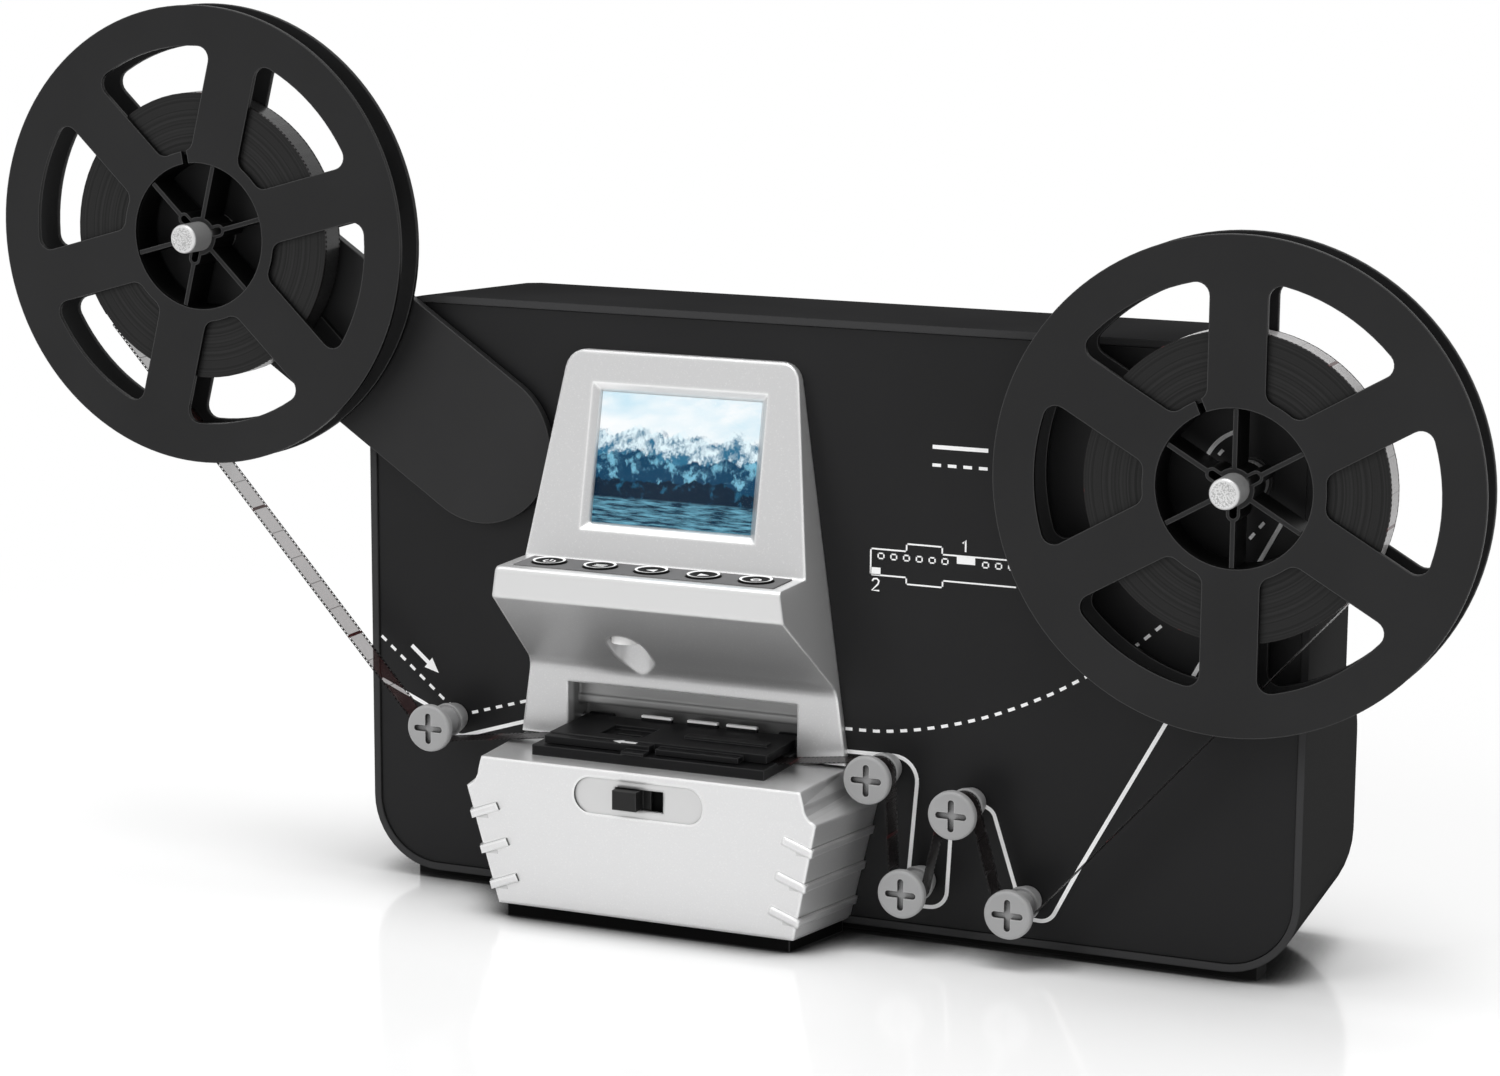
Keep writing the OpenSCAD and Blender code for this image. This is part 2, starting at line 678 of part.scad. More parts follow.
// Two dark strips that the case stands on, cut to its rounded lower corners
module feet() color("#111111") difference() {
    for (i = [0, 1]) let (y = i == 0 ? foot_inset : case_back - foot_inset - foot_d)
        block([case_left + foot_end[i], y, 0], [case_right - foot_end[i], y + foot_d, foot_h + foot_rise]);
    case_solid(0, 0);
}

// Section of the head in y and z, and its outline in x and z
head_section = [[panel_recess, head_z0], [panel_recess, head_top], [-face_top_y, head_top],
    [-face_y, shelf_z], [-shelf_y, shelf_z], [-shelf_y, lip_z], [-neck_y, neck_z], [-neck_y, head_z0]];
head_outline = [[head_x - head_w_foot / 2, head_z0], [head_x + head_w_foot / 2, head_z0],
    [head_x + head_w_top / 2, head_top], [head_x - head_w_top / 2, head_top]];

// Half of the head's width at height z
function head_half(z) = (head_w_foot + (head_w_top - head_w_foot) * (z - head_z0) / (head_top - head_z0)) / 2;

// The head's hollow reaches back past the panel's face and down to the neck
head_hollow = [[panel_recess + wall + cut, neck_z], [panel_recess + wall + cut, head_top],
    [-face_top_y, head_top], [-face_y, shelf_z], [-shelf_y, shelf_z], [-shelf_y, lip_z], [-neck_y, neck_z]];

module head_solid() intersection() {
    slab_x(head_x - head_w_foot, head_x + head_w_foot)
        polygon(fillet(head_section, [0, 0, face_top_y, 0, shelf_edge_r, shelf_edge_r, bend_r, 0]));
    slab_y(-2 * shelf_y, panel_recess) polygon(fillet(head_outline, [0, 0, head_corner_r, head_corner_r]));
}

// Puts a piece on the screen face: x across, y up the face, z out of it
module on_face() translate([head_x, -face_y, shelf_z]) rotate([90 - screen_tilt, 0, 0]) children();

function screen_rect(w, h) = [[-w / 2, screen_up - h / 2], [w / 2, screen_up - h / 2],
    [w / 2, screen_up + h / 2], [-w / 2, screen_up + h / 2]];

button_x = [for (i = [-2:2]) head_x + i * button_pitch];
strip_w = 4 * button_pitch + 2 * button_r + 6;
strip_front = -button_y - strip_d / 2;
button_posts = [-1.5, 1.5] * button_pitch;

// Silver head: the screen face, the button shelf, the undercut with the lamp port, the gate slot
module head_housing() color(silver) difference() {
    union() {
        difference() {
            head_solid();
            intersection() {
                slab_x(head_x - head_w_foot, head_x + head_w_foot) polygon(inset(head_hollow, wall));
                slab_y(-2 * shelf_y, panel_recess + cut) polygon(inset(head_outline, wall));
            }
        }
        intersection() {
            head_solid();
            port_shape(port_r + pocket_wall, neck_z - wall, port_top + diffuser_t);
        }
        for (x = button_posts)
            bar_z([head_x + x, -button_y], 1.4, button_board_z + board_t, shelf_z - wall / 2);
        gate_room(pocket_wall, -neck_y / 2, head_z0, pocket_d, brow_z + pocket_wall);
        gate_room(pocket_wall, -neck_y / 2, head_z0, brow_y + brow_step + pocket_wall,
            slot_top + pocket_wall);
    }
    gate_room(0, -shelf_y, head_z0 - cut, pocket_d - pocket_wall, brow_z);
    gate_room(0, -shelf_y, head_z0 - cut, brow_y, slot_top);
    gate_room(0, -shelf_y, brow_z + brow_band, brow_y + brow_step, slot_top);
    port_shape(port_r, neck_z - 2 * wall, port_top + cut);
    port_shape(port_r + seam + 0.6, port_top, port_top + diffuser_t + cut);
    on_face() loft([[-wall - cut, screen_rect(screen_w, screen_h)], [-wall, screen_rect(screen_w, screen_h)],
        [0, screen_rect(screen_w + 2 * bevel_w, screen_h + 2 * bevel_w)],
        [cut, screen_rect(screen_w + 2 * bevel_w, screen_h + 2 * bevel_w)]]);
    block([head_x - strip_w / 2 - seam, strip_front - seam, shelf_z - strip_sunk],
        [head_x + strip_w / 2 + seam, strip_front + strip_d + seam, shelf_z + cut]);
    for (x = button_x) bar_z([x, -button_y], button_r + run_gap, shelf_z - 2 * wall, shelf_z + cut);
    for (side = [-1, 1]) slab_x_hinge(side, hinge_r + fit_gap);
}

// Upright bar with round ends, front and back, in the place of the lamp port
module port_shape(r, z0, z1) {
    for (side = [-1, 1]) bar_z(port_mid + [0, side * port_long], r, z0, z1);
    block([port_mid.x - r, port_mid.y - port_long, z0], [port_mid.x + r, port_mid.y + port_long, z1]);
}

// Block as wide as the gate's slot, with a wall on each side, between two depths and two heights
module gate_room(side_wall, y0, z0, y1, z1)
    block([head_x - gate_slot_w / 2 - side_wall, y0, z0], [head_x + gate_slot_w / 2 + side_wall, y1, z1]);

// Hinge pin of the gate's cover on one side, through the pocket's wall
module slab_x_hinge(side, r) {
    inner = head_x + side * (cover_w / 2 - 4);
    outer = head_x + side * (gate_slot_w / 2 + pocket_wall);
    translate([min(inner, outer), hinge_y, hinge_z]) rotate([0, 90, 0])
        cylinder(r = r, h = abs(outer - inner));
}

// Clear window behind the bevel
module screen_window() color("#dfe8ee") on_face() translate([0, screen_up, -wall - window_t])
    linear_extrude(window_t) square([screen_w + 2 * window_lap, screen_h + 2 * window_lap], center = true);

// Display module behind the window
module lcd_module() color("#3a6f8c") on_face() translate([0, screen_up, -wall - window_t - lcd_t])
    linear_extrude(lcd_t)
        square([screen_w + 2 * window_lap + 2, screen_h + 2 * window_lap + 2], center = true);

// Dark strip round the buttons
module button_strip() color("#5a5a5a") difference() {
    block([head_x - strip_w / 2, strip_front, shelf_z - strip_sunk],
        [head_x + strip_w / 2, strip_front + strip_d, shelf_z - strip_sunk + strip_t]);
    for (x = button_x) bar_z([x, -button_y], button_r + run_gap, shelf_z - wall, shelf_z + cut);
}

// Round push button with a dished top and a flange under the shelf
module push_button(i) color("#3c3c3c") difference() {
    dish_r = 30;
    union() {
        bar_z([button_x[i], -button_y], button_r, button_flange_z, shelf_z + button_proud);
        bar_z([button_x[i], -button_y], button_r + 0.9, button_flange_z, button_flange_z + button_flange_t);
    }
    translate([button_x[i], -button_y, shelf_z + button_proud - 0.25 + dish_r]) sphere(dish_r);
}

module button_power() push_button(0);
module button_menu() push_button(1);
module button_left() push_button(2);
module button_right() push_button(3);
module button_ok() push_button(4);

// Board with a push switch under each button
module button_board() color(board_green) {
    block([head_x - strip_w / 2 + 2, -button_y - button_r + 0.4, button_board_z],
        [head_x + strip_w / 2 - 2, -button_y + button_r + 1.4, button_board_z + board_t]);
    for (x = button_x) {
        block([x - 3, -button_y - 3, button_board_z + board_t], [x + 3, -button_y + 3, tact_z - 0.5]);
        bar_z([x, -button_y], 1.7, button_board_z + board_t, tact_z);
    }
}

// Rise of the tray's cove from its belt to its neck, and how far it has come in there, both from 0 to 1
cove = [for (a = [cove_turn:-cove_turn / 4:0]) [1 - sin(a) / sin(cove_turn),
    1 - (1 - cos(a)) / (1 - cos(cove_turn))]];

// Half widths of the tray by height, through the cove
function tray_sides(w) = concat([[tray_z0, w[0] / 2]],
    [for (c = cove) [tray_belt_z + (tray_neck_z - tray_belt_z) * c.x, (w[1] + (w[2] - w[1]) * c.y) / 2]],
    [[tray_top, w[3] / 2]]);

// Sizes of the tray at height z
tray_levels = [for (side = tray_sides(tray_front_w)) side[0]];
function tray_front(z) = lookup(z, [[tray_z0, tray_y0], [tray_belt_z, tray_y], [tray_top, tray_y]]);
function tray_half_front(z) = lookup(z, tray_sides(tray_front_w));
function tray_half_rear(z) = lookup(z, tray_sides(tray_rear_w));

// One level section of the tray, grown by a margin, with its rear at y1
function tray_level(z, grow, y1) = [z, [[head_x - tray_half_front(z) - grow, -tray_front(z) - grow],
    [head_x + tray_half_front(z) + grow, -tray_front(z) - grow],
    [head_x + tray_half_rear(z) + grow, y1], [head_x - tray_half_rear(z) - grow, y1]]];

// Slanted rib on the front corner that runs back level along the side
module tray_rib(side, z) {
    half = tray_half_front(z);
    corner = head_x + side * half;
    far = head_x + side * case_w / 4;
    block([min(corner - side * 4, far), -tray_front(z), z - rib_h / 2],
        [max(corner - side * 4, far), panel_recess, z + rib_h / 2]);
    translate([corner, -tray_front(z), z]) rotate([0, side * rib_tilt, 0]) mirror([side > 0 ? 1 : 0, 0, 0])
        translate([-2, -3, -rib_h / 2]) cube([rib_len + 2, 4, rib_h]);
}

switch_post_x = slot_w / 2 + 7;
switch_plate_y = -tray_y + wall + 1.9;

// Silver tray: flared sides, corner ribs, the oval recess of the mode switch
module tray_housing() color(pale) difference() {
    union() {
        difference() {
            union() {
                loft([for (z = tray_levels) tray_level(z, 0, panel_recess)]);
                intersection() {
                    loft([for (z = tray_levels) tray_level(z, rib_out, panel_recess)]);
                    for (side = [-1, 1], z = rib_z) tray_rib(side, z);
                }
            }
            loft([for (i = [0:len(cove) + 1])
                let (z = i == 0 ? tray_z0 - cut : i > len(cove) ? tray_top - wall : tray_levels[i])
                    tray_level(z, -wall, panel_recess + cut)]);
        }
        for (side = [-1, 1])
            bar_y([head_x + side * switch_post_x, switch_z], 1.8, -tray_y + wall / 2, switch_plate_y);
    }
    slab_y(-2 * tray_y, -tray_y + recess_d) translate([head_x, switch_z])
        round_rect(recess_w, recess_h, recess_h / 2 - 0.1);
    block([head_x - slot_w / 2, -2 * tray_y, switch_z - slot_h / 2],
        [head_x + slot_w / 2, switch_plate_y, switch_z + slot_h / 2]);
    bar_z([aperture_x, -film_y], lens_r + seam, tray_top - 2 * wall, tray_top + cut);
    claw_room(tray_top - 2 * wall, tray_top + cut, 1);
    block([-case_w, -seam, 0], [case_w, seat_y, foot_h + rim_w + seam]);
}

// Black base that closes the tray from below and stands on the table
module tray_base() color("#151515") {
    loft([for (z = [0, tray_z0]) [z, tray_level(tray_z0, -base_inset, -seam)[1]]]);
    loft([for (z = [tray_z0, tray_z0 + 2]) [z, tray_level(tray_z0, -wall - run_gap, -seam)[1]]]);
    for (sx = [-1, 1], sy = [-1, 1])
        bar_z([aperture_x + sx * 9, -film_y + sy * 7], 2, tray_z0 + 1, sensor_z);
}

knob_x = head_x - slot_w / 2 + knob_gap + knob_w / 2;
knob_travel = slot_w - knob_w - 2 * knob_gap;

// Knob that slides from one film format to the other
module mode_switch() color("#141414") {
    block([knob_x - knob_w / 2, -tray_y - knob_out, switch_z - slot_h / 2 + knob_gap],
        [knob_x + knob_w / 2, switch_plate_y - 0.6, switch_z + slot_h / 2 - knob_gap]);
    block([knob_x - knob_w / 2 - 2.4, switch_plate_y - run_gap - 1, switch_z - slot_h / 2 - 1.4],
        [knob_x + knob_w / 2 + 2.4, switch_plate_y - run_gap, switch_z + slot_h / 2 + 1.4]);
}

// Slide switch on its plate behind the knob
module switch_body() color("#6a6a6a") {
    block([head_x - switch_post_x - 3, switch_plate_y, switch_z - 4.5],
        [head_x + switch_post_x + 3, switch_plate_y + 1.5, switch_z + 4.5]);
    block([head_x - 8, switch_plate_y + 1, switch_z - 3], [head_x + 8, switch_plate_y + 6, switch_z + 3]);
}

claw_x = head_x - 1;
claw_y = -film_y - film_w / 2 + 0.9;

// Room for the claw's finger
module claw_room(z0, z1, side_gap) block([claw_x - claw_stroke - 0.6 - side_gap, claw_y - 0.5 - side_gap, z0],
    [claw_x + claw_stroke + 0.6 + side_gap, claw_y + 0.5 + side_gap, z1]);

// Lower plate of the film gate with the film channel, the picture aperture and the claw's slot
module gate_base() color(black) difference() {
    union() {
        block([head_x - gate_w / 2, -gate_front, tray_top], [head_x + gate_w / 2, gate_rear, gate_top]);
        block([head_x - gate_w / 2 - gate_ext, -gate_front, tray_top], [head_x, -neck_y - seam, gate_top]);
    }
    block([head_x - gate_w, -film_y - film_w / 2 - seam, gate_top - channel_d],
        [head_x + gate_w, -film_y + film_w / 2 + seam, gate_top + cut]);
    translate([aperture_x, -film_y, gate_top]) cube([aperture.x, aperture.y, 4 * gate_base_t], center = true);
    claw_room(tray_top - cut, gate_top + cut, run_gap);
    for (side = [-1, 1]) translate([head_x + side * (cover_w / 2 - 4), 0, 0])
        block([-6, hinge_y - 3.4, gate_top - 1.4], [6, gate_rear + cut, gate_top + cut]);
}

cover_step = 3.4;
cover_rear = hinge_y - 1.2;
tab_x = head_x - 4.7;
tab_half = 3.3;
tab_notch = 1.9;
window_size = [13, 10.4];

// Hinged cover: the window over the aperture, a long ridge, a stepped front edge and a thumb tab
module gate_cover() color("#17171a") difference() {
    union() {
        block([head_x - cover_w / 2, -cover_front + cover_step, cover_z],
            [head_x + cover_w / 2 - 1, cover_rear, cover_top]);
        block([head_x - cover_w / 2, -cover_front, cover_z],
            [tab_x + tab_half, -cover_front + cover_step + cut, cover_top - 0.3]);
        block([tab_x + tab_half + tab_notch, -cover_front, cover_z],
            [head_x + cover_w / 2 - 7.8, -cover_front + cover_step + cut, cover_top - 0.8]);
        block([tab_x - tab_half, -cover_front - 3.6, cover_z],
            [tab_x + tab_half, -cover_front + cut, cover_z + 0.8]);
        block([head_x + 4, -film_y + 0.8, cover_top - cut],
            [head_x + cover_w / 2 - 4.3, -film_y + 3.8, cover_top + 0.7]);
        for (side = [-1, 1]) translate([head_x + side * (cover_w / 2 - 4), hinge_y, hinge_z])
            rotate([0, 90, 0]) {
                cylinder(r = cover_t / 2 + 0.4, h = 7, center = true);
                translate([0, -2.5, 0]) cube([cover_t, 5, 7], center = true);
            }
    }
    translate([aperture_x, -film_y, cover_top])
        cube([aperture.x + 1, aperture.y + 1, 4 * cover_t], center = true);
    translate([aperture_x, -film_y + 2.2, cover_top])
        cube([window_size.x, window_size.y, 2.2], center = true);
    for (side = [-1, 1]) slab_x_hinge(side, hinge_r + fit_gap);
    for (mark = gate_mark_x) block([mark - mark_w / 2 - seam, cover_rear - mark_d - seam, cover_top - 0.5],
        [mark + mark_w / 2 + seam, cover_rear + cut, cover_top + cut]);
}

mark_w = 9;
mark_d = 1.4;
gate_mark_x = [for (x = [-10.8, 3, 14.7]) head_x + x];

// Steel pins of the cover's hinge
module gate_pins() color("#b8b8b8") for (side = [-1, 1]) slab_x_hinge(side, hinge_r);

// Three white strips let into the cover's rear edge
module gate_marks() color("white") for (mark = gate_mark_x)
    block([mark - mark_w / 2, cover_rear - mark_d, cover_top - 0.5],
        [mark + mark_w / 2, cover_rear, cover_top + 1.45]);

// White cover at the top of the lamp port, with the round lamp below it
module lamp_diffuser() color("white") {
    port_shape(port_r + 0.6, port_top, port_top + diffuser_t);
    bar_z(port_mid - [port_r - run_gap - lamp_r, 0.2], lamp_r, port_top - lamp_h, port_top + diffuser_t / 2);
}

// Lamp board on top of the port's tube
module lamp_board() color(board_green) {
    z = port_top + diffuser_t;
    block([aperture_x - 9, -film_y - port_r + 0.8, z], [aperture_x + 9, -film_y + port_r + 0.7, z + board_t]);
    block([aperture_x - 1.8, -film_y - 1.8, z + board_t], [aperture_x + 1.8, -film_y + 1.8, z + board_t + 1]);
}

sensor_z = tray_top - lens_len - board_t;

// Camera lens under the gate, with a wider front ring and the aperture through it
module lens_barrel() color("#2a2a2a") difference() {
    union() {
        bar_z([aperture_x, -film_y], lens_r, tray_top - 10, tray_top);
        bar_z([aperture_x, -film_y], lens_r - 1.2, tray_top - lens_len, tray_top - 9);
    }
    bar_z([aperture_x, -film_y], 3.6, tray_top - 5, tray_top + cut);
}

// Image sensor board on four posts of the tray's base
module sensor_board() color(board_green) {
    block([aperture_x - 12, -film_y - 10, sensor_z], [aperture_x + 12, -film_y + 9, sensor_z + board_t]);
}

unit_top = tray_top - wall - 4.5;
unit_x = aperture_x + 12.5;

// Closed motor and crank unit that steps the film
module pulldown_unit() color("#4a4a4a") {
    block([unit_x, -tray_y0 + 8.5, tray_z0 + 2], [unit_x + unit_w, -4, unit_top]);
    for (y = [claw_y - 3, claw_y + 2])
        block([claw_x + 4, y, unit_top - cut], [claw_x + slide_len + 2, y + 1, unit_top + 2]);
}

// Claw that reaches up through the gate and pulls the film on
module pulldown_claw() color("#c0c0c0") {
    block([claw_x - 0.6, claw_y - 0.5, unit_top + run_gap],
        [claw_x + 0.6, claw_y + 0.5, gate_top - channel_d - 0.1]);
    block([claw_x - 0.6, claw_y - 1.6, unit_top + run_gap], [claw_x + slide_len, claw_y + 1.6, unit_top + 2]);
}

// Swinging arm: a plate with round ends, the pivot boss and the spindle boss behind it
module supply_arm() color("#2b2b2c") difference() {
    union() {
        slab_y(arm_front, -arm_gap) link(pivot_at, supply_at, arm_w / 2);
        bar_y(pivot_at, pivot_r, -arm_gap - cut, seat_y + run_gap);
        bar_y(supply_at, arm_boss_r, -arm_gap - cut, arm_boss_len);
    }
    bar_y(supply_at, bush_r + fit_gap, arm_front - cut, arm_boss_len + cut);
    bar_y(pivot_at, screw_r + fit_gap, arm_front + cut, seat_y + cut);
}

// Washer that holds the arm's boss behind the panel
module arm_retainer() color("#9a9a9a") difference() {
    bar_y(pivot_at, retainer_r, seat_y + run_gap, seat_y + run_gap + retainer_t);
    bar_y(pivot_at, screw_r + fit_gap, seat_y, seat_y + run_gap + retainer_t + cut);
}

// Screw in the arm's boss
module arm_screw() color("#8c8c8c") {
    head_y = seat_y + run_gap + retainer_t;
    bar_y(pivot_at, screw_r, arm_front + cut + seam, head_y + cut / 2);
    bar_y(pivot_at, screw_head_r, head_y, head_y + screw_head_h);
}

// Plain bearing of a spindle, with a collar in front if it has one
module bush(at, y0, y1, collar) color("#3a3a3c") difference() {
    union() {
        bar_y(at, bush_r, y0, y1);
        if (collar > 0) bar_y(at, bush_r + 1, y0, y0 + collar);
    }
    bar_y(at, shaft_r + fit_gap, y0 - cut, y1 + cut);
}

// Spindle with a domed tip, a shoulder behind the reel and a thinner shaft to the back
module spindle(at, shoulder_back, shaft_back) color("#d6d6d6") translate([at.x, 0, at.y]) rotate([90, 0, 0])
    rotate_extrude() polygon(fillet([[0, -shaft_back], [shaft_r, -shaft_back], [shaft_r, -shoulder_back],
        [hub_boss_r, -shoulder_back], [hub_boss_r, -reel_rear], [spindle_r, -reel_rear],
        [spindle_r, spindle_tip - reel_front], [0, spindle_tip - reel_front]], [0, 0, 0, 0, 0, 0, 1.2, 0]));

// One window of a flange, about the X axis of the outline
pitch = 360 / spokes;
side_in = asin((spoke_w / 2 + window_fillet) / (window_in_r + window_fillet));
side_out = asin((spoke_w / 2 + window_fillet) / (window_out_r - window_fillet));
function polar(r, a) = r * [cos(a), sin(a)];
edge_in = pitch / 2 - side_in;
edge_out = pitch / 2 - side_out;
mid_in = window_in_r + window_fillet;
mid_out = window_out_r - window_fillet;
flange_window = concat(
    arc(polar(mid_out, -edge_out), window_fillet, -90 - pitch / 2, -edge_out, 6),
    arc([0, 0], window_out_r, -edge_out, edge_out, 10),
    arc(polar(mid_out, edge_out), window_fillet, edge_out, 90 + pitch / 2, 6),
    arc(polar(mid_in, edge_in), window_fillet, 90 + pitch / 2, 180 + edge_in, 6),
    arc([0, 0], window_in_r, edge_in, -edge_in, 4),
    arc(polar(mid_in, -edge_in), window_fillet, 180 - edge_in, 270 - pitch / 2, 6));

// Outline of a flange in x and z, with its windows turned by a phase
module flange_outline(phase) difference() {
    circle(reel_r);
    circle(hub_open_r);
    for (i = [0:spokes - 1]) rotate(phase + i * pitch) polygon(flange_window);
}

// Slit beside a spoke, for the film's end
module film_slit(phase) rotate(phase + 1.5 * pitch + 24) translate([hub_open_r - cut, -slit_w / 2])
    square([window_in_r + 0.7 - hub_open_r + cut, slit_w]);

// Ribs of the hub on the spokes' lines
module hub_ribs(phase, reach) for (i = [0:spokes - 1]) rotate(phase + (i + 0.5) * pitch)
    translate([spindle_r, -hub_rib_t / 2]) square([reach - spindle_r, hub_rib_t]);

// The bore and three key slots, grown by a wall
module hub_keys(phase, bore_r, grow) {
    circle(bore_r);
    for (i = [0:2]) rotate(phase + 30 + i * 120) link([0, 0], [key_reach - key_w / 2, 0], key_w / 2 + grow);
}

// Rear half of a reel: flange, core, ribs and the keyed boss
module reel_half(at, phase) color("#303031") translate([at.x, 0, at.y]) {
    slab_y(reel_rear - flange_t, reel_rear) flange_outline(phase);
    slab_y(reel_front + flange_t, reel_rear) difference() {
        union() {
            difference() {
                circle(core_r);
                circle(hub_open_r);
                film_slit(phase);
            }
            hub_ribs(phase, (hub_open_r + core_r) / 2);
            hub_keys(phase, hub_boss_r, 0.8);
        }
        hub_keys(phase, spindle_r + fit_gap, 0);
    }
    slab_y(reel_front + hub_rib_recess, reel_front + flange_t + cut) difference() {
        union() {
            hub_ribs(phase, hub_open_r - seam);
            hub_keys(phase, hub_boss_r, 0.8);
        }
        hub_keys(phase, spindle_r + fit_gap, 0);
    }
}

// Front flange of a reel
module reel_flange(at, phase) color("#303031") translate([at.x, 0, at.y])
    slab_y(reel_front, reel_front + flange_t) difference() {
        flange_outline(phase);
        film_slit(phase);
    }

// Film wound on a reel's core
module film_roll(at) color("#3a3a3c") difference() {
    bar_y(at, roll_r, -film_y - film_w / 2, -film_y + film_w / 2);
    bar_y(at, core_r + fit_gap, -film_y - film_w, -film_y + film_w);
}

module supply_bush() bush(supply_at, arm_front, arm_boss_len, 0);
module supply_spindle() {
    spindle(supply_at, arm_front - run_gap, arm_boss_len + run_gap);
    color("#d6d6d6") bar_y(supply_at, shaft_r + 1.5, arm_boss_len + run_gap, arm_boss_len + run_gap + 1.5);
}
module supply_reel() reel_half(supply_at, supply_phase);
module supply_reel_flange() reel_flange(supply_at, supply_phase);
module supply_film_roll() film_roll(supply_at);

bush_collar = 1.2;
module takeup_bush() bush(takeup_at, panel_recess - bush_collar, seat_y + 2, bush_collar);
module takeup_spindle() spindle(takeup_at, panel_recess - bush_collar - run_gap, plate_y + plate_t + 2);
module takeup_reel() reel_half(takeup_at, takeup_phase);
module takeup_reel_flange() reel_flange(takeup_at, takeup_phase);
module takeup_film_roll() film_roll(takeup_at);

// Roller with a crossed front flange, a hollowed hub and a rear collar, on a blind bore
module guide_roller(i) color(grey) translate([rollers[i].x, 0, rollers[i].y]) difference() {
    hub_front = roller_front + roller_flange_t;
    hub_mid = (hub_front + collar_front) / 2;
    rotate([90, 0, 0]) rotate_extrude() polygon(fillet([[0, -roller_back], [collar_r - 0.8, -roller_back],
        [collar_r, -collar_front - 1.2], [collar_r, -collar_front], [hub_r, -collar_front],
        [hub_r - hub_hollow, -hub_mid], [hub_r, -hub_front], [roller_r, -hub_front],
        [roller_r, -roller_front], [0, -roller_front]],
        [0, 0, 0, 0, 0, 0, 0, 0.4, 0.8, 0]));
    bar_y([0, 0], pin_r + fit_gap, roller_front + roller_flange_t, roller_back + cut);
    slab_y(roller_front - cut, roller_front + cross_d) for (turn = [0, 90]) rotate(turn)
        link([(cross_w - cross_span) / 2, 0], [(cross_span - cross_w) / 2, 0], cross_w / 2);
}

module guide_roller_1() guide_roller(0);
module guide_roller_2() guide_roller(1);
module guide_roller_3() guide_roller(2);
module guide_roller_4() guide_roller(3);
module guide_roller_5() guide_roller(4);

// Pins of the rollers, each headed behind the panel
module roller_pins() color("#bdbdbd") for (p = rollers) {
    bar_y(p, pin_r, roller_front + roller_flange_t + run_gap, seat_y + cut / 2);
    bar_y(p, pin_r + 1.5, seat_y, seat_y + 1.2);
}

// Film from the supply roll to the first roller
module film_lead() color("#8a8078") slab_y(-film_y - film_w / 2, -film_y + film_w / 2) {
    faces = [for (deep = [0, film_t]) let (a = worn(lead_wheels[0], film_t, deep),
        b = worn(lead_wheels[1], film_t, deep), h = heading(a, b)) [touch(a, h), touch(b, h)]];
    polygon(concat(faces[0], reversed(faces[1])));
}

// Film round the rollers and through the gate to the take-up roll
module film_run() color("#4a4440") slab_y(-film_y - film_w / 2, -film_y + film_w / 2)
    polygon(concat(strip_face(run_wheels, film_t, 0), reversed(strip_face(run_wheels, film_t, film_t))));

// Main board on its posts behind the panel
module main_board() color(board_green) translate([main_at.x, main_y, main_at.y]) {
    translate([-main_w / 2, 0, -main_h / 2]) cube([main_w, board_t, main_h]);
    chip = main_w / 5;
    translate([-chip / 2, 0, -chip / 2]) cube([chip, board_t + 1.4, chip]);
    translate([main_w / 4.5, 0, -chip / 3]) cube([chip / 1.5, board_t + 1.2, chip / 1.5]);
    translate([-main_w / 2.5, 0, main_h / 6]) cube([chip * 0.9, board_t + 6, main_h / 6]);
}

// Steel plate that carries the motor and the rear end of the take-up shaft
module drive_plate() color("#a8a8a8") difference() {
    slab_y(plate_y, plate_y + plate_t) {
        link(plate_posts[0], takeup_at, shaft_r + 6);
        link(plate_posts[1], plate_posts[2], 5);
        translate(motor_at) circle(motor_r + 2);
    }
    bar_y(takeup_at, shaft_r + fit_gap, plate_y - cut, plate_y + plate_t + cut);
    bar_y(motor_at, 2.2, plate_y - cut, plate_y + plate_t + cut);
}

motor_shaft_r = 1.2;

// Motor behind the drive plate
module takeup_motor() color("#b9b9b9") difference() {
    union() {
        bar_y(motor_at, motor_r, plate_y + plate_t, plate_y + plate_t + motor_len);
        bar_y(motor_at, 3, plate_y + plate_t + motor_len - cut, plate_y + plate_t + motor_len + 1.2);
    }
    bar_y(motor_at, motor_shaft_r + fit_gap, plate_y, plate_y + plate_t + 6);
}

// Pulley with a groove for the belt
module pulley(at, r) translate([at.x, pulley_y + pulley_w / 2, at.y]) rotate([90, 0, 0]) rotate_extrude() {
    side = pulley_w / 2;
    edge = belt_w / 2 + run_gap;
    polygon([[0, -side], [r, -side], [r, -edge], [r - groove_d, -edge],
        [r - groove_d, edge], [r, edge], [r, side], [0, side]]);
}

// Motor's pulley on its shaft
module motor_pulley() color("#d9c27a") {
    pulley(motor_at, motor_pulley_r);
    bar_y(motor_at, motor_shaft_r, pulley_y, plate_y + plate_t + 5);
}

// Pulley on the take-up shaft
module takeup_pulley() color("#e8e2d0") difference() {
    pulley(takeup_at, pulley_r);
    bar_y(takeup_at, shaft_r + fit_gap / 2, pulley_y - cut, pulley_y + pulley_w + cut);
}

// Points of one face of the belt, at a depth from its inner face
function belt_face(deep) = let (a = worn(belt_wheels[0], belt_t, deep),
    b = worn(belt_wheels[1], belt_t, deep), there = heading(a, b), back = heading(b, a) + 360)
    concat([for (k = [0:10]) touch(b, there + (back - there) * k / 10)],
        [for (k = [0:16]) touch(a, back + (there + 360 - back) * k / 16)]);

// Rubber belt between the pulleys
module drive_belt() color("#202020") {
    mid = pulley_y + pulley_w / 2;
    slab_y(mid - belt_w / 2, mid + belt_w / 2) difference() {
        polygon(belt_face(belt_t));
        polygon(belt_face(0));
    }
}

// Board that the sockets sit on
module io_board() color(board_green) block([io_x, io_y, io_z], [io_x + io_w, io_y + io_d, io_z + board_t]);

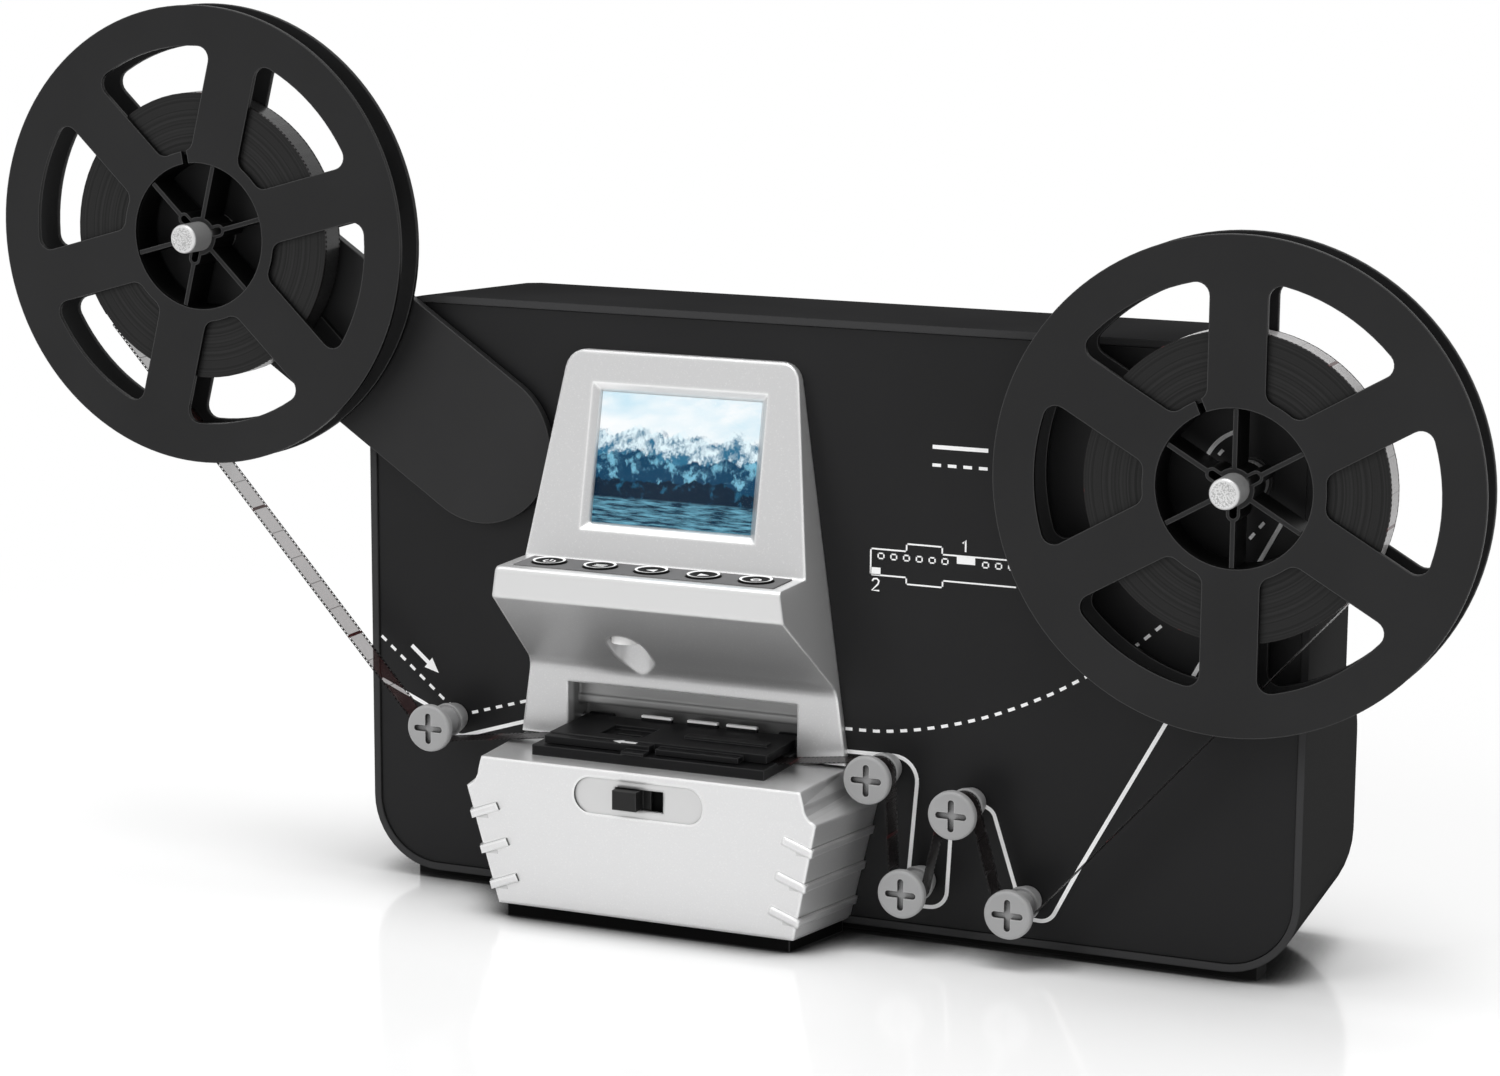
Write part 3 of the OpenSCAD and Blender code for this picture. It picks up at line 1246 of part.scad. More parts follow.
// Power jack with its centre pin, open to the back
module power_jack() color("#191919") {
    difference() {
        union() {
            bar_y([jack_x, jack_z], jack_r, case_back - jack_len, case_back - 0.4);
            block([jack_x - jack_r, case_back - jack_len, socket_z],
                [jack_x + jack_r, case_back - wall - seam, jack_z]);
        }
        bar_y([jack_x, jack_z], jack_bore_r, case_back - jack_len + 2, case_back + cut);
    }
    bar_y([jack_x, jack_z], jack_pin_r, case_back - jack_len + 1, case_back - 1.5);
}

// A flat socket with a tongue, open to the back
module flat_socket(x, size, tongue) color("#b5b5b5") translate([x, case_back, socket_z]) {
    half = size.x / 2;
    difference() {
        block([-half, -size.y, 0], [half, -0.4, size.z]);
        block([0.6 - half, 1.5 - size.y, 0.6], [half - 0.6, cut, size.z - 0.6]);
    }
    if (tongue) block([1.4 - half, 1 - size.y, size.z / 2 - 0.5], [half - 1.4, -2.4, size.z / 2 + 0.4]);
}

module usb_port() flat_socket(usb_x, usb_size, true);
module card_slot() flat_socket(card_x, card_size, false);

rear_case();
front_panel();
panel_screws();
feet();
head_housing();
screen_window();
lcd_module();
button_strip();
button_power();
button_menu();
button_left();
button_right();
button_ok();
button_board();
tray_housing();
tray_base();
mode_switch();
switch_body();
gate_base();
gate_cover();
gate_pins();
gate_marks();
lamp_diffuser();
lamp_board();
lens_barrel();
sensor_board();
pulldown_unit();
pulldown_claw();
supply_arm();
arm_retainer();
arm_screw();
supply_bush();
supply_spindle();
supply_reel();
supply_reel_flange();
supply_film_roll();
takeup_bush();
takeup_spindle();
takeup_reel();
takeup_reel_flange();
takeup_film_roll();
guide_roller_1();
guide_roller_2();
guide_roller_3();
guide_roller_4();
guide_roller_5();
roller_pins();
film_lead();
film_run();
main_board();
drive_plate();
takeup_motor();
motor_pulley();
takeup_pulley();
drive_belt();
io_board();
power_jack();
usb_port();
card_slot();
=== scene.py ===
# Film scanner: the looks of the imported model, in metres, in the model's own frame.
import math

import bmesh
import bpy
from mathutils import Matrix, Vector


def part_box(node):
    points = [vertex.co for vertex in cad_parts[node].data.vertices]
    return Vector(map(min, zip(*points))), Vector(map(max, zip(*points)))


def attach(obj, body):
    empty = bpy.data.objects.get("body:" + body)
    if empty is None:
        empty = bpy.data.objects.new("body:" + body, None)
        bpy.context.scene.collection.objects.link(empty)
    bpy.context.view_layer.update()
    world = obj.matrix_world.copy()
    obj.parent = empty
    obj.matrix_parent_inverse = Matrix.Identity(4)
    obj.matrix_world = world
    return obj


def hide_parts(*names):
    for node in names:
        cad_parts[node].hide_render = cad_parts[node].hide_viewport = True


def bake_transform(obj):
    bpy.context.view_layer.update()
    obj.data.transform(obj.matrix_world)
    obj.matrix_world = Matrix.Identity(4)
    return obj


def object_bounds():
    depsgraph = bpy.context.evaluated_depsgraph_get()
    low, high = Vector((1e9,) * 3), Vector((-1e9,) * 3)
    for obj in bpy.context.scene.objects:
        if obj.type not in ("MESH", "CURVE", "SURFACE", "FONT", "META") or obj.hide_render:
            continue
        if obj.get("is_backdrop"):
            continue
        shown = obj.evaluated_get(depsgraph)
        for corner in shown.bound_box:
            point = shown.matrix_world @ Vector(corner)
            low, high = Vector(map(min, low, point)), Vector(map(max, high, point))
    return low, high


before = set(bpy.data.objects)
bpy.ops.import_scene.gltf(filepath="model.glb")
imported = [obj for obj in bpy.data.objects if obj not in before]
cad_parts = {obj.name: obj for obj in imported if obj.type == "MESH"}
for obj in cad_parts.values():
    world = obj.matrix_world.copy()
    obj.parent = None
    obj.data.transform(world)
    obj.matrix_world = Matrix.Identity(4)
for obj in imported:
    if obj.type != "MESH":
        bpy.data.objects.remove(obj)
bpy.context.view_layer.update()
scene = bpy.context.scene
scene.view_settings.view_transform = "Standard"
MM = 0.001

# Camera: stands to the right of the scanner and a little above it, with a long lens,
# so that the front is seen at a slant with the right side of the head and the tray.
EYE = Vector((376.81, -908.49, 296.35)) * MM
YAW, PITCH, ROLL = 0.41228, 0.19095, 0.0048049
FOCAL_PX, PICTURE_W, PICTURE_H = 3775.09, 1500, 1076
CENTRE_PX = (745.352, 541.553)
ahead = Vector((-math.sin(YAW) * math.cos(PITCH), math.cos(YAW) * math.cos(PITCH), -math.sin(PITCH)))
level = Vector((math.cos(YAW), math.sin(YAW), 0))
upright = level.cross(ahead)
across = math.cos(ROLL) * level + math.sin(ROLL) * upright
upright = math.cos(ROLL) * upright - math.sin(ROLL) * level
lens = bpy.data.cameras.new("camera")
lens.sensor_fit = "HORIZONTAL"
lens.sensor_width = 36
lens.lens = FOCAL_PX * lens.sensor_width / PICTURE_W
lens.shift_x = (PICTURE_W / 2 - CENTRE_PX[0]) / PICTURE_W
lens.shift_y = (CENTRE_PX[1] - PICTURE_H / 2) / PICTURE_W
lens.clip_start, lens.clip_end = 0.05, 30
camera = bpy.data.objects.new("camera", lens)
camera.matrix_world = Matrix.Translation(EYE) @ Matrix((across, upright, -ahead)).transposed().to_4x4()
scene.collection.objects.link(camera)
scene.camera = camera

# Studio: a pale, smooth table top that fades into a white backdrop, with a painted contact shadow
# that darkens it close to what stands on it, even light from all round, and soft lamps at the upper
# left, overhead and on the right. Only the overhead lamp is seen in reflections.
FLOOR_SIZE, FLOOR_COLOUR, FLOOR_SHADED = 12.0, (0.97, 0.97, 0.97, 1), (0.04, 0.04, 0.04, 1)
CONTACT_REACH, CONTACT_OPEN, CONTACT_SHUT = 0.019, 0.80, 0.30
FADE_FROM, FADE_TO = 0.22, 0.60
AROUND = 0.42


def arithmetic(tree, operation, first, second):
    """One step of arithmetic on two values, each a socket or a number."""
    step = tree.nodes.new("ShaderNodeMath")
    step.operation = operation
    for value, socket in ((first, step.inputs[0]), (second, step.inputs[1])):
        if isinstance(value, bpy.types.NodeSocket):
            tree.links.new(value, socket)
        else:
            socket.default_value = value
    return step.outputs[0]


def seen_directly(tree):
    """Whether the eye, a reflection or clear glass looks at this surface."""
    rays = tree.nodes.new("ShaderNodeLightPath").outputs
    open_view = arithmetic(tree, "MAXIMUM", rays["Is Camera Ray"], rays["Is Glossy Ray"])
    return arithmetic(tree, "MAXIMUM", open_view, rays["Is Transmission Ray"])


world = bpy.data.worlds.new("studio")
scene.world = world
world.use_nodes = True
nodes, links = world.node_tree.nodes, world.node_tree.links
nodes.clear()
room = nodes.new("ShaderNodeBackground")
room.inputs["Color"].default_value = (1, 1, 1, 1)
room.inputs["Strength"].default_value = AROUND
white = nodes.new("ShaderNodeBackground")
white.inputs["Color"].default_value = (1, 1, 1, 1)
white.inputs["Strength"].default_value = 1
either = nodes.new("ShaderNodeMixShader")
links.new(seen_directly(world.node_tree), either.inputs["Fac"])
links.new(room.outputs[0], either.inputs[1])
links.new(white.outputs[0], either.inputs[2])
links.new(either.outputs[0], nodes.new("ShaderNodeOutputWorld").inputs["Surface"])

half = FLOOR_SIZE / 2
corners = [(-half, -half, 0), (half, -half, 0), (half, half, 0), (-half, half, 0)]
table_mesh = bpy.data.meshes.new("table_top")
table_mesh.from_pydata(corners, [], [(0, 1, 2, 3)])
table_top = bpy.data.objects.new("table_top", table_mesh)
scene.collection.objects.link(table_top)
table_top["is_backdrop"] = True
table_paint = bpy.data.materials.new("table_top")
table_paint.use_nodes = True
nodes, links = table_paint.node_tree.nodes, table_paint.node_tree.links
top_coat = nodes["Principled BSDF"]
# Painted contact shadow: the table is darker where what stands close by shuts it in
contact = nodes.new("ShaderNodeAmbientOcclusion")
contact.samples = 12
contact.inputs["Distance"].default_value = CONTACT_REACH
near = nodes.new("ShaderNodeMapRange")
near.interpolation_type = "SMOOTHSTEP"
near.inputs["From Min"].default_value = CONTACT_OPEN
near.inputs["From Max"].default_value = CONTACT_SHUT
links.new(contact.outputs["AO"], near.inputs["Value"])
shaded = nodes.new("ShaderNodeMix")
shaded.data_type = "RGBA"
links.new(near.outputs[0], shaded.inputs[0])
shaded.inputs[6].default_value = FLOOR_COLOUR
shaded.inputs[7].default_value = FLOOR_SHADED
links.new(shaded.outputs[2], top_coat.inputs["Base Color"])
top_coat.inputs["Roughness"].default_value = 0.12
top_coat.inputs["Specular IOR Level"].default_value = 0.22
glow = nodes.new("ShaderNodeEmission")
place = nodes.new("ShaderNodeTexCoord")
reach = nodes.new("ShaderNodeVectorMath")
reach.operation = "LENGTH"
links.new(place.outputs["Object"], reach.inputs[0])
fade = nodes.new("ShaderNodeMapRange")
fade.interpolation_type = "SMOOTHSTEP"
fade.inputs["From Min"].default_value = FADE_FROM
fade.inputs["From Max"].default_value = FADE_TO
links.new(reach.outputs["Value"], fade.inputs["Value"])
seen = seen_directly(table_paint.node_tree)
shown = arithmetic(table_paint.node_tree, "MULTIPLY", fade.outputs[0], seen)
blend = nodes.new("ShaderNodeMixShader")
links.new(shown, blend.inputs["Fac"])
links.new(top_coat.outputs[0], blend.inputs[1])
links.new(glow.outputs[0], blend.inputs[2])
links.new(blend.outputs[0], nodes["Material Output"].inputs["Surface"])
table_mesh.materials.append(table_paint)

for name, stand, aim, size, watts in [
        ("lamp_left", (-1.10, -1.40, 1.00), (-0.03, 0, 0.1), 0.9, 14.0),
        ("lamp_overhead", (0.05, -0.06, 1.7), (0, 0, 0.05), 1.0, 18.0),
        ("lamp_right", (1.5, -0.5, 0.6), (0.05, 0, 0.1), 0.8, 4.0)]:
    lamp = bpy.data.lights.new(name, "AREA")
    lamp.size, lamp.energy = size, watts
    stand_in = bpy.data.objects.new(name, lamp)
    stand_in.location = stand
    stand_in.rotation_euler = (Vector(aim) - Vector(stand)).to_track_quat("-Z", "Y").to_euler()
    stand_in.visible_glossy = name == "lamp_overhead"
    scene.collection.objects.link(stand_in)

# Rear case and the base under the tray: injection moulded black plastic with a fine even
# texture from the tool, a little lighter and smoother at the edges, partly from wear and partly as a
# painted highlight. The case's front faces and right side are painted lighter as painted light.


def grey(level):
    """A neutral colour."""
    return (level, level, level)


CASE_BLACK, CASE_WORN_LIT_EDGE = (0.022, 0.022, 0.0225), (0.06, 0.06, 0.061)
CASE_RIM_LIT, CASE_SIDE_LIT, BASE_BLACK = (0.050, 0.050, 0.051), grey(0.032), grey(0.006)


def node_group(name, inputs, outputs):
    """An empty shader group, the ways to add and link nodes in it, and its sockets seen from inside."""
    tree = bpy.data.node_groups.new(name, "ShaderNodeTree")
    for label, value in inputs.items():
        socket = tree.interface.new_socket(label, in_out="INPUT", socket_type="NodeSocketFloat")
        socket.default_value = value
    for label in outputs:
        kind = "NodeSocketVector" if label == "Normal" else "NodeSocketFloat"
        tree.interface.new_socket(label, in_out="OUTPUT", socket_type=kind)
    add = tree.nodes.new
    return tree, add, tree.links.new, add("NodeGroupInput").outputs, add("NodeGroupOutput").inputs


# Edges rounded by the moulding tool: a normal that turns over them, and where they lie
soft_edge, add, link, takes, gives = node_group("soft_edge", {"Radius": 0.0004}, ("Normal", "Edge"))
rounded = add("ShaderNodeBevel")
rounded.samples = 6
flat = add("ShaderNodeNewGeometry")
likeness = add("ShaderNodeVectorMath")
likeness.operation = "DOT_PRODUCT"
edge_mask = add("ShaderNodeMapRange")
edge_mask.inputs["From Min"].default_value = 0.990
edge_mask.inputs["From Max"].default_value = 0.92
link(takes["Radius"], rounded.inputs["Radius"])
link(rounded.outputs["Normal"], likeness.inputs[0])
link(flat.outputs["Normal"], likeness.inputs[1])
link(likeness.outputs["Value"], edge_mask.inputs["Value"])
link(rounded.outputs["Normal"], gives["Normal"])
link(edge_mask.outputs[0], gives["Edge"])

# Texture of a moulded skin: fine pits for the bump and a slow cloud for tone and gloss
moulded_skin, add, link, takes, gives = node_group(
    "moulded_skin", {"Pits": 2600.0, "Cloud": 22.0}, ("Height", "Tone"))
where = add("ShaderNodeTexCoord")
pits = add("ShaderNodeTexNoise")
pits.inputs["Detail"].default_value = 3
cloud = add("ShaderNodeTexNoise")
cloud.inputs["Detail"].default_value = 5
link(where.outputs["Object"], pits.inputs["Vector"])
link(where.outputs["Object"], cloud.inputs["Vector"])
link(takes["Pits"], pits.inputs["Scale"])
link(takes["Cloud"], cloud.inputs["Scale"])
link(pits.outputs["Fac"], gives["Height"])
link(cloud.outputs["Fac"], gives["Tone"])


def place_group(material, group, **values):
    """Puts a group into a material with its own values."""
    step = material.node_tree.nodes.new("ShaderNodeGroup")
    step.node_tree = group
    for label, value in values.items():
        step.inputs[label].default_value = value
    return step


def spread(material, value, low, high, start=0.3, end=0.7):
    """Maps a varying value onto a range."""
    step = material.node_tree.nodes.new("ShaderNodeMapRange")
    for label, number in (("From Min", start), ("From Max", end), ("To Min", low), ("To Max", high)):
        step.inputs[label].default_value = number
    material.node_tree.links.new(value, step.inputs["Value"])
    return step.outputs[0]


def mixed(material, fac, first, second):
    """Mixes two colours, given as sockets or as numbers."""
    step = material.node_tree.nodes.new("ShaderNodeMix")
    step.data_type = "RGBA"
    material.node_tree.links.new(fac, step.inputs[0])
    for colour, socket in ((first, step.inputs[6]), (second, step.inputs[7])):
        if isinstance(colour, bpy.types.NodeSocket):
            material.node_tree.links.new(colour, socket)
        else:
            socket.default_value = (*colour, 1)
    return step.outputs[2]


def bumped(material, height, normal, strength, depth):
    """Raises a surface by a height on top of another normal."""
    step = material.node_tree.nodes.new("ShaderNodeBump")
    step.inputs["Strength"].default_value = strength
    step.inputs["Distance"].default_value = depth
    material.node_tree.links.new(height, step.inputs["Height"])
    if normal is not None:
        material.node_tree.links.new(normal, step.inputs["Normal"])
    return step.outputs["Normal"]


def new_material(name):
    """A material, its shader and the way to link its nodes."""
    material = bpy.data.materials.new(name)
    material.use_nodes = True
    tree = material.node_tree
    return material, tree.nodes["Principled BSDF"], tree.links.new


def moulded(name, colour, worn_lit_edge, rough, edge=0.0004, pits=2600.0, grain=0.12, gloss=0.25, vary=0.12):
    """Moulded plastic: toned by a slow cloud, edges lighter from wear and a painted highlight, fine skin."""
    material, shader, link = new_material(name)
    round_off = place_group(material, soft_edge, Radius=edge)
    skin = place_group(material, moulded_skin, Pits=pits)
    deep = tuple((1 - vary) * c for c in colour)
    pale = tuple((1 + vary) * c for c in colour)
    body = mixed(material, spread(material, skin.outputs["Tone"], 0, 1), deep, pale)
    link(mixed(material, round_off.outputs["Edge"], body, worn_lit_edge), shader.inputs["Base Color"])
    link(spread(material, skin.outputs["Tone"], rough - 0.05, rough + 0.05), shader.inputs["Roughness"])
    link(bumped(material, skin.outputs["Height"], round_off.outputs["Normal"], grain, 0.0001),
         shader.inputs["Normal"])
    shader.inputs["Specular IOR Level"].default_value = gloss
    return material


def finish(material, *names):
    """Gives CAD nodes their finish."""
    for name in names:
        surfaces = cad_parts[name].data
        surfaces.materials.clear()
        surfaces.materials.append(material)


# Parts of a surface by an axis: faces that look along it, and what lies beyond a distance on it
along_axis, add, link, takes, gives = node_group(
    "along_axis", {"X": 0.0, "Y": 0.0, "Z": 0.0, "From": 0.0, "To": 1.0}, ("Facing", "Beyond"))
where = add("ShaderNodeTexCoord")
axis = add("ShaderNodeCombineXYZ")
for label in "XYZ":
    link(takes[label], axis.inputs[label])
for source, result in (("Normal", "Facing"), ("Object", "Beyond")):
    along = add("ShaderNodeVectorMath")
    along.operation = "DOT_PRODUCT"
    reached = add("ShaderNodeMapRange")
    link(where.outputs[source], along.inputs[0])
    link(axis.outputs[0], along.inputs[1])
    link(along.outputs["Value"], reached.inputs["Value"])
    link(takes["From"], reached.inputs["From Min"])
    link(takes["To"], reached.inputs["From Max"])
    link(reached.outputs[0], gives[result])


def facing(material, start=0.90, end=0.98, **axis):
    """Where a surface looks along an axis."""
    return place_group(material, along_axis, From=start, To=end, **axis).outputs["Facing"]


def beyond(material, start, end, **axis):
    """What lies beyond a distance along an axis."""
    return place_group(material, along_axis, From=start, To=end, **axis).outputs["Beyond"]


def toned(material, *layers):
    """Lays other colours over a finish, each where its mask is."""
    shader = material.node_tree.nodes["Principled BSDF"]
    for mask, colour in layers:
        under = shader.inputs["Base Color"].links[0].from_socket
        material.node_tree.links.new(mixed(material, mask, under, colour), shader.inputs["Base Color"])
    return material


case_black = moulded("case_black", CASE_BLACK, CASE_WORN_LIT_EDGE, 0.55, edge=0.0007, grain=0.25, gloss=0.0)
# Painted light: the case's front faces and right side are painted lighter
toned(case_black, (facing(case_black, Y=-1.0), CASE_RIM_LIT), (facing(case_black, X=1.0), CASE_SIDE_LIT))
finish(case_black, "rear_case")
finish(moulded("base_black", BASE_BLACK, CASE_WORN_LIT_EDGE, 0.55, edge=0.0007, grain=0.25, gloss=0.0), "tray_base")

# Feet: two strips of moulded black rubber, dull and a little dusty,
# glued under the case.
finish(moulded("foot_rubber", grey(0.008), grey(0.03), 0.75,
               pits=1400.0, grain=0.3, gloss=0.15), "feet")

# Front panel: a flat black moulding, smoother than the case. It lies in the rim of the case
# and is held by screws from the back.
finish(moulded("panel_black", (0.0115, 0.0115, 0.012), grey(0.04), 0.42,
               edge=0.0003, grain=0.05, gloss=0.16), "front_panel")

# Film routing marks: white ink printed on the panel, a solid line for one way of the film and
# a dashed one for the other, an arrow, a key with both lines and a small drawing of the gate.
INK_WHITE = grey(0.97)
INK_THICK, INK_SUNK = 0.04, 0.02
LINE_W, DASH_W, THIN_W = 1.07, 0.84, 0.42
DASH, DASH_GAP = 1.98, 1.95
KEY_DASH, KEY_GAP = 2.4, 1.9
panel_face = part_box("front_panel")[0].y / MM


def rounded_path(points, radii, steps=8):
    """A path with its inner corners rounded to the radii given."""
    path = [Vector(points[0])]
    for before, here, after, r in zip(points, points[1:], points[2:], radii):
        before, here, after = Vector(before), Vector(here), Vector(after)
        u, v = (here - before).normalized(), (after - here).normalized()
        turn = math.atan2(u.x * v.y - u.y * v.x, u.dot(v))
        if r == 0 or abs(turn) < 1e-4:
            path.append(here)
            continue
        start = here - u * (r * math.tan(abs(turn) / 2))
        side = math.copysign(1, turn)
        middle = start + side * r * Vector((-u.y, u.x))
        for k in range(steps + 1):
            a = turn * k / steps
            spoke = start - middle
            path.append(middle + Vector((spoke.x * math.cos(a) - spoke.y * math.sin(a),
                                         spoke.x * math.sin(a) + spoke.y * math.cos(a))))
    return path + [Vector(points[-1])]


def smooth_path(points, steps=10):
    """A smooth curve through the points."""
    p = [Vector(q) for q in points]
    p = [2 * p[0] - p[1], *p, 2 * p[-1] - p[-2]]
    path = []
    for a, b, c, d in zip(p, p[1:], p[2:], p[3:]):
        for k in range(steps):
            t = k / steps
            path.append(0.5 * (2 * b + (c - a) * t + (2 * a - 5 * b + 4 * c - d) * t * t
                               + (3 * b - a - 3 * c + d) * t ** 3))
    return path + [p[-2]]


def stretch(path, start, end):
    """The part of a path between two distances from its start."""
    part, run = [], 0.0
    for a, b in zip(path, path[1:]):
        length = (b - a).length
        if run + length > start and run < end:
            low, high = max(0, start - run) / length, min(1, (end - run) / length)
            if not part:
                part.append(a.lerp(b, low))
            part.append(a.lerp(b, high))
        run += length
    return part


def dashes(path, dash, gap):
    """A path cut into dashes."""
    total = sum((b - a).length for a, b in zip(path, path[1:]))
    count = max(1, round((total + gap) / (dash + gap)))
    return [stretch(path, k * (dash + gap), k * (dash + gap) + dash) for k in range(count)]


def ribbon(path, width):
    """Outline of a stroke of that width along a path."""
    left, right = [], []
    for i, here in enumerate(path):
        u = (path[min(i + 1, len(path) - 1)] - path[max(i - 1, 0)]).normalized()
        left.append(here + width / 2 * Vector((-u.y, u.x)))
        right.append(here - width / 2 * Vector((-u.y, u.x)))
    return left, right


class Print:
    """Thin ink on a face: strokes and filled shapes drawn in two directions of that face."""

    def __init__(self, lift):
        self.lift, self.verts, self.faces = lift, [], []

    def strip(self, left, right, closed=False):
        base, n = len(self.verts), len(left)
        for thick in (0, 1):
            self.verts += [self.lift(p, thick) for p in left + right]
        low, high = base, base + 2 * n
        for i in range(n - 1):
            self.faces.append((high + i, high + n + i, high + n + i + 1, high + i + 1))
            self.faces.append((low + i, low + i + 1, low + n + i + 1, low + n + i))
            self.faces.append((low + i, high + i, high + i + 1, low + i + 1))
            self.faces.append((low + n + i, low + n + i + 1, high + n + i + 1, high + n + i))
        for i in () if closed else (0, n - 1):
            self.faces.append((low + i, low + n + i, high + n + i, high + i))

    def stroke(self, path, width):
        self.strip(*ribbon(path, width))

    def fill(self, outline):
        base, n = len(self.verts), len(outline)
        for thick in (0, 1):
            self.verts += [self.lift(p, thick) for p in outline]
        self.faces.append(tuple(range(base, base + n)))
        self.faces.append(tuple(reversed(range(base + n, base + 2 * n))))
        for i in range(n):
            j = (i + 1) % n
            self.faces.append((base + i, base + n + i, base + n + j, base + j))

    def ring(self, centre, inner, outer, steps=40):
        angles = [2 * math.pi * k / steps for k in range(steps + 1)]
        spokes = [Vector((math.cos(a), math.sin(a))) for a in angles]
        self.strip([centre + outer * s for s in spokes], [centre + inner * s for s in spokes], closed=True)

    def piece(self, name, material, body):
        mesh = bpy.data.meshes.new(name)
        mesh.from_pydata(self.verts, [], self.faces)
        ink = bmesh.new()
        ink.from_mesh(mesh)
        bmesh.ops.remove_doubles(ink, verts=ink.verts, dist=1e-7)
        bmesh.ops.recalc_face_normals(ink, faces=ink.faces)
        ink.to_mesh(mesh)
        ink.free()
        mesh.materials.append(material)
        made = bpy.data.objects.new(name, mesh)
        scene.collection.objects.link(made)
        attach(made, body)
        return made


def on_panel(p, thick):
    """A point of the panel's face, with the ink standing proud of it."""
    return (p.x * MM, (panel_face + INK_SUNK - (INK_THICK + INK_SUNK) * thick) * MM, p.y * MM)


def axis_of(name):
    """Where the axis of a round node stands in x and z, in millimetres."""
    low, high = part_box(name)
    return Vector((low.x + high.x, low.z + high.z)) / (2 * MM)


white_ink = moulded("white_ink", INK_WHITE, INK_WHITE, 0.5, edge=0.00002, grain=0.03, vary=0.02)
marks = Print(on_panel)
for points, radii in [
        ([(-132.2, 56.0), (-117.8, 49.9), (-108.9, 41.5), (-86.0, 48.7)], [8, 5.4]),
        ([(9.0, 49.9), (29.9, 50.2), (27.3, 18.7)], [6.5]),
        ([(29.6, 9.6), (38.0, 9.8), (39.0, 29.5)], [5]),
        ([(47.0, 39.9), (50.9, 38.0), (57.8, 16.9)], [3.5]),
        ([(61.0, 9.9), (67.1, 9.5), (75.2, 25.5), (97.3, 66.1), (128.2, 124.6)], [4.5, 0, 0])]:
    marks.stroke(rounded_path(points, radii), LINE_W)
for path in [
        rounded_path([(-132.2, 68.5), (-112.2, 51.8), (-106.3, 48.4), (-86.0, 54.4)], [3, 3]),
        smooth_path([(8.7, 56.1), (17.5, 56.3), (25.3, 57.2), (33.0, 58.7), (40.7, 60.7),
                     (48.1, 63.1), (55.4, 66.0), (62.5, 69.3), (69.5, 73.0), (81.1, 80.3),
                     (91.9, 88.7), (106.9, 103.1), (121.9, 121.1)])]:
    for part in dashes(path, DASH, DASH_GAP):
        marks.stroke(part, DASH_W)
# Turn of both ways round the hub of the take-up reel, and the line's end above the reel
hub = axis_of("takeup_reel")
for radius, first, last, width in [
        (12.6, 95, 153, LINE_W), (10.2, 136, 146, DASH_W), (36.2, 96, 140, LINE_W)]:
    angles = [math.radians(a) for a in range(first, last + 1, 2)]
    marks.stroke([hub + radius * Vector((math.cos(a), math.sin(a))) for a in angles], width)


def arrow_outline(tip, tail, shaft, head, head_long):
    """Outline of an arrow from the half widths of its shaft and head."""
    u = (tip - tail).normalized()
    v = Vector((-u.y, u.x))
    neck = tip - head_long * u
    return [tail + shaft * v, tail - shaft * v, neck - shaft * v, neck - head * v, tip,
            neck + head * v, neck + shaft * v]


marks.fill(arrow_outline(Vector((-114.2, 59.5)), Vector((-122.6, 66.6)), shaft=0.6, head=1.9, head_long=4.2))
# Key
marks.stroke([Vector((32.4, 134.1)), Vector((47.8, 134.1))], LINE_W)
for part in dashes([Vector((32.4, 129.3)), Vector((47.8, 129.3))], KEY_DASH, KEY_GAP):
    marks.stroke(part, DASH_W)


def thin_line(points, width):
    """A thin line with square corners, stroke by stroke."""
    for a, b in zip(points, points[1:]):
        a, b = Vector(a), Vector(b)
        u = (b - a).normalized() * width / 2
        marks.stroke([a - u, b + u], width)


# Drawing of the gate: its outline, film perforations, its two ends and their numbers
PERFORATION_HALF, PERFORATION_LOW, PERFORATION_HIGH = 0.8, 103.2, 104.6
PERFORATION_LINE, NUMBER_W = THIN_W * 0.9, 0.45
thin_line([(55.9, 98.7), (35.7, 98.7), (35.7, 96.9), (25.5, 96.9), (25.5, 98.7), (15.4, 98.7),
           (15.4, 105.7), (25.5, 105.7), (25.5, 107.7), (35.5, 107.7), (35.5, 105.7), (55.9, 105.7)], THIN_W)
for x in (18.3, 21.9, 25.5, 29.1, 32.7, 36.3, 47.6, 51.2, 54.8):
    left, right = x - PERFORATION_HALF, x + PERFORATION_HALF
    thin_line([(left, PERFORATION_LOW), (right, PERFORATION_LOW), (right, PERFORATION_HIGH),
               (left, PERFORATION_HIGH), (left, PERFORATION_LOW)], PERFORATION_LINE)
for left, right, low, high in [(39.6, 44.7, 103.6, 105.5), (15.4, 18.2, 98.7, 100.7)]:
    marks.fill([Vector((left, low)), Vector((right, low)), Vector((right, high)), Vector((left, high))])
for path in [[(41.2, 109.1), (42.0, 110.1), (42.0, 106.9)],
             [(15.9, 97.0), (16.3, 97.6), (17.2, 97.7), (17.8, 97.1), (17.5, 96.2), (15.8, 94.5),
              (17.9, 94.5)]]:
    marks.stroke([Vector(p) for p in path], NUMBER_W)
marks.piece("panel_marks", white_ink, "case")

# Screws, washer, drive plate and motor: zinc plated and turned steel, with fine scratches
# that run round or along the piece.
STEEL, STEEL_DULL = (0.62, 0.62, 0.63), (0.44, 0.44, 0.45)

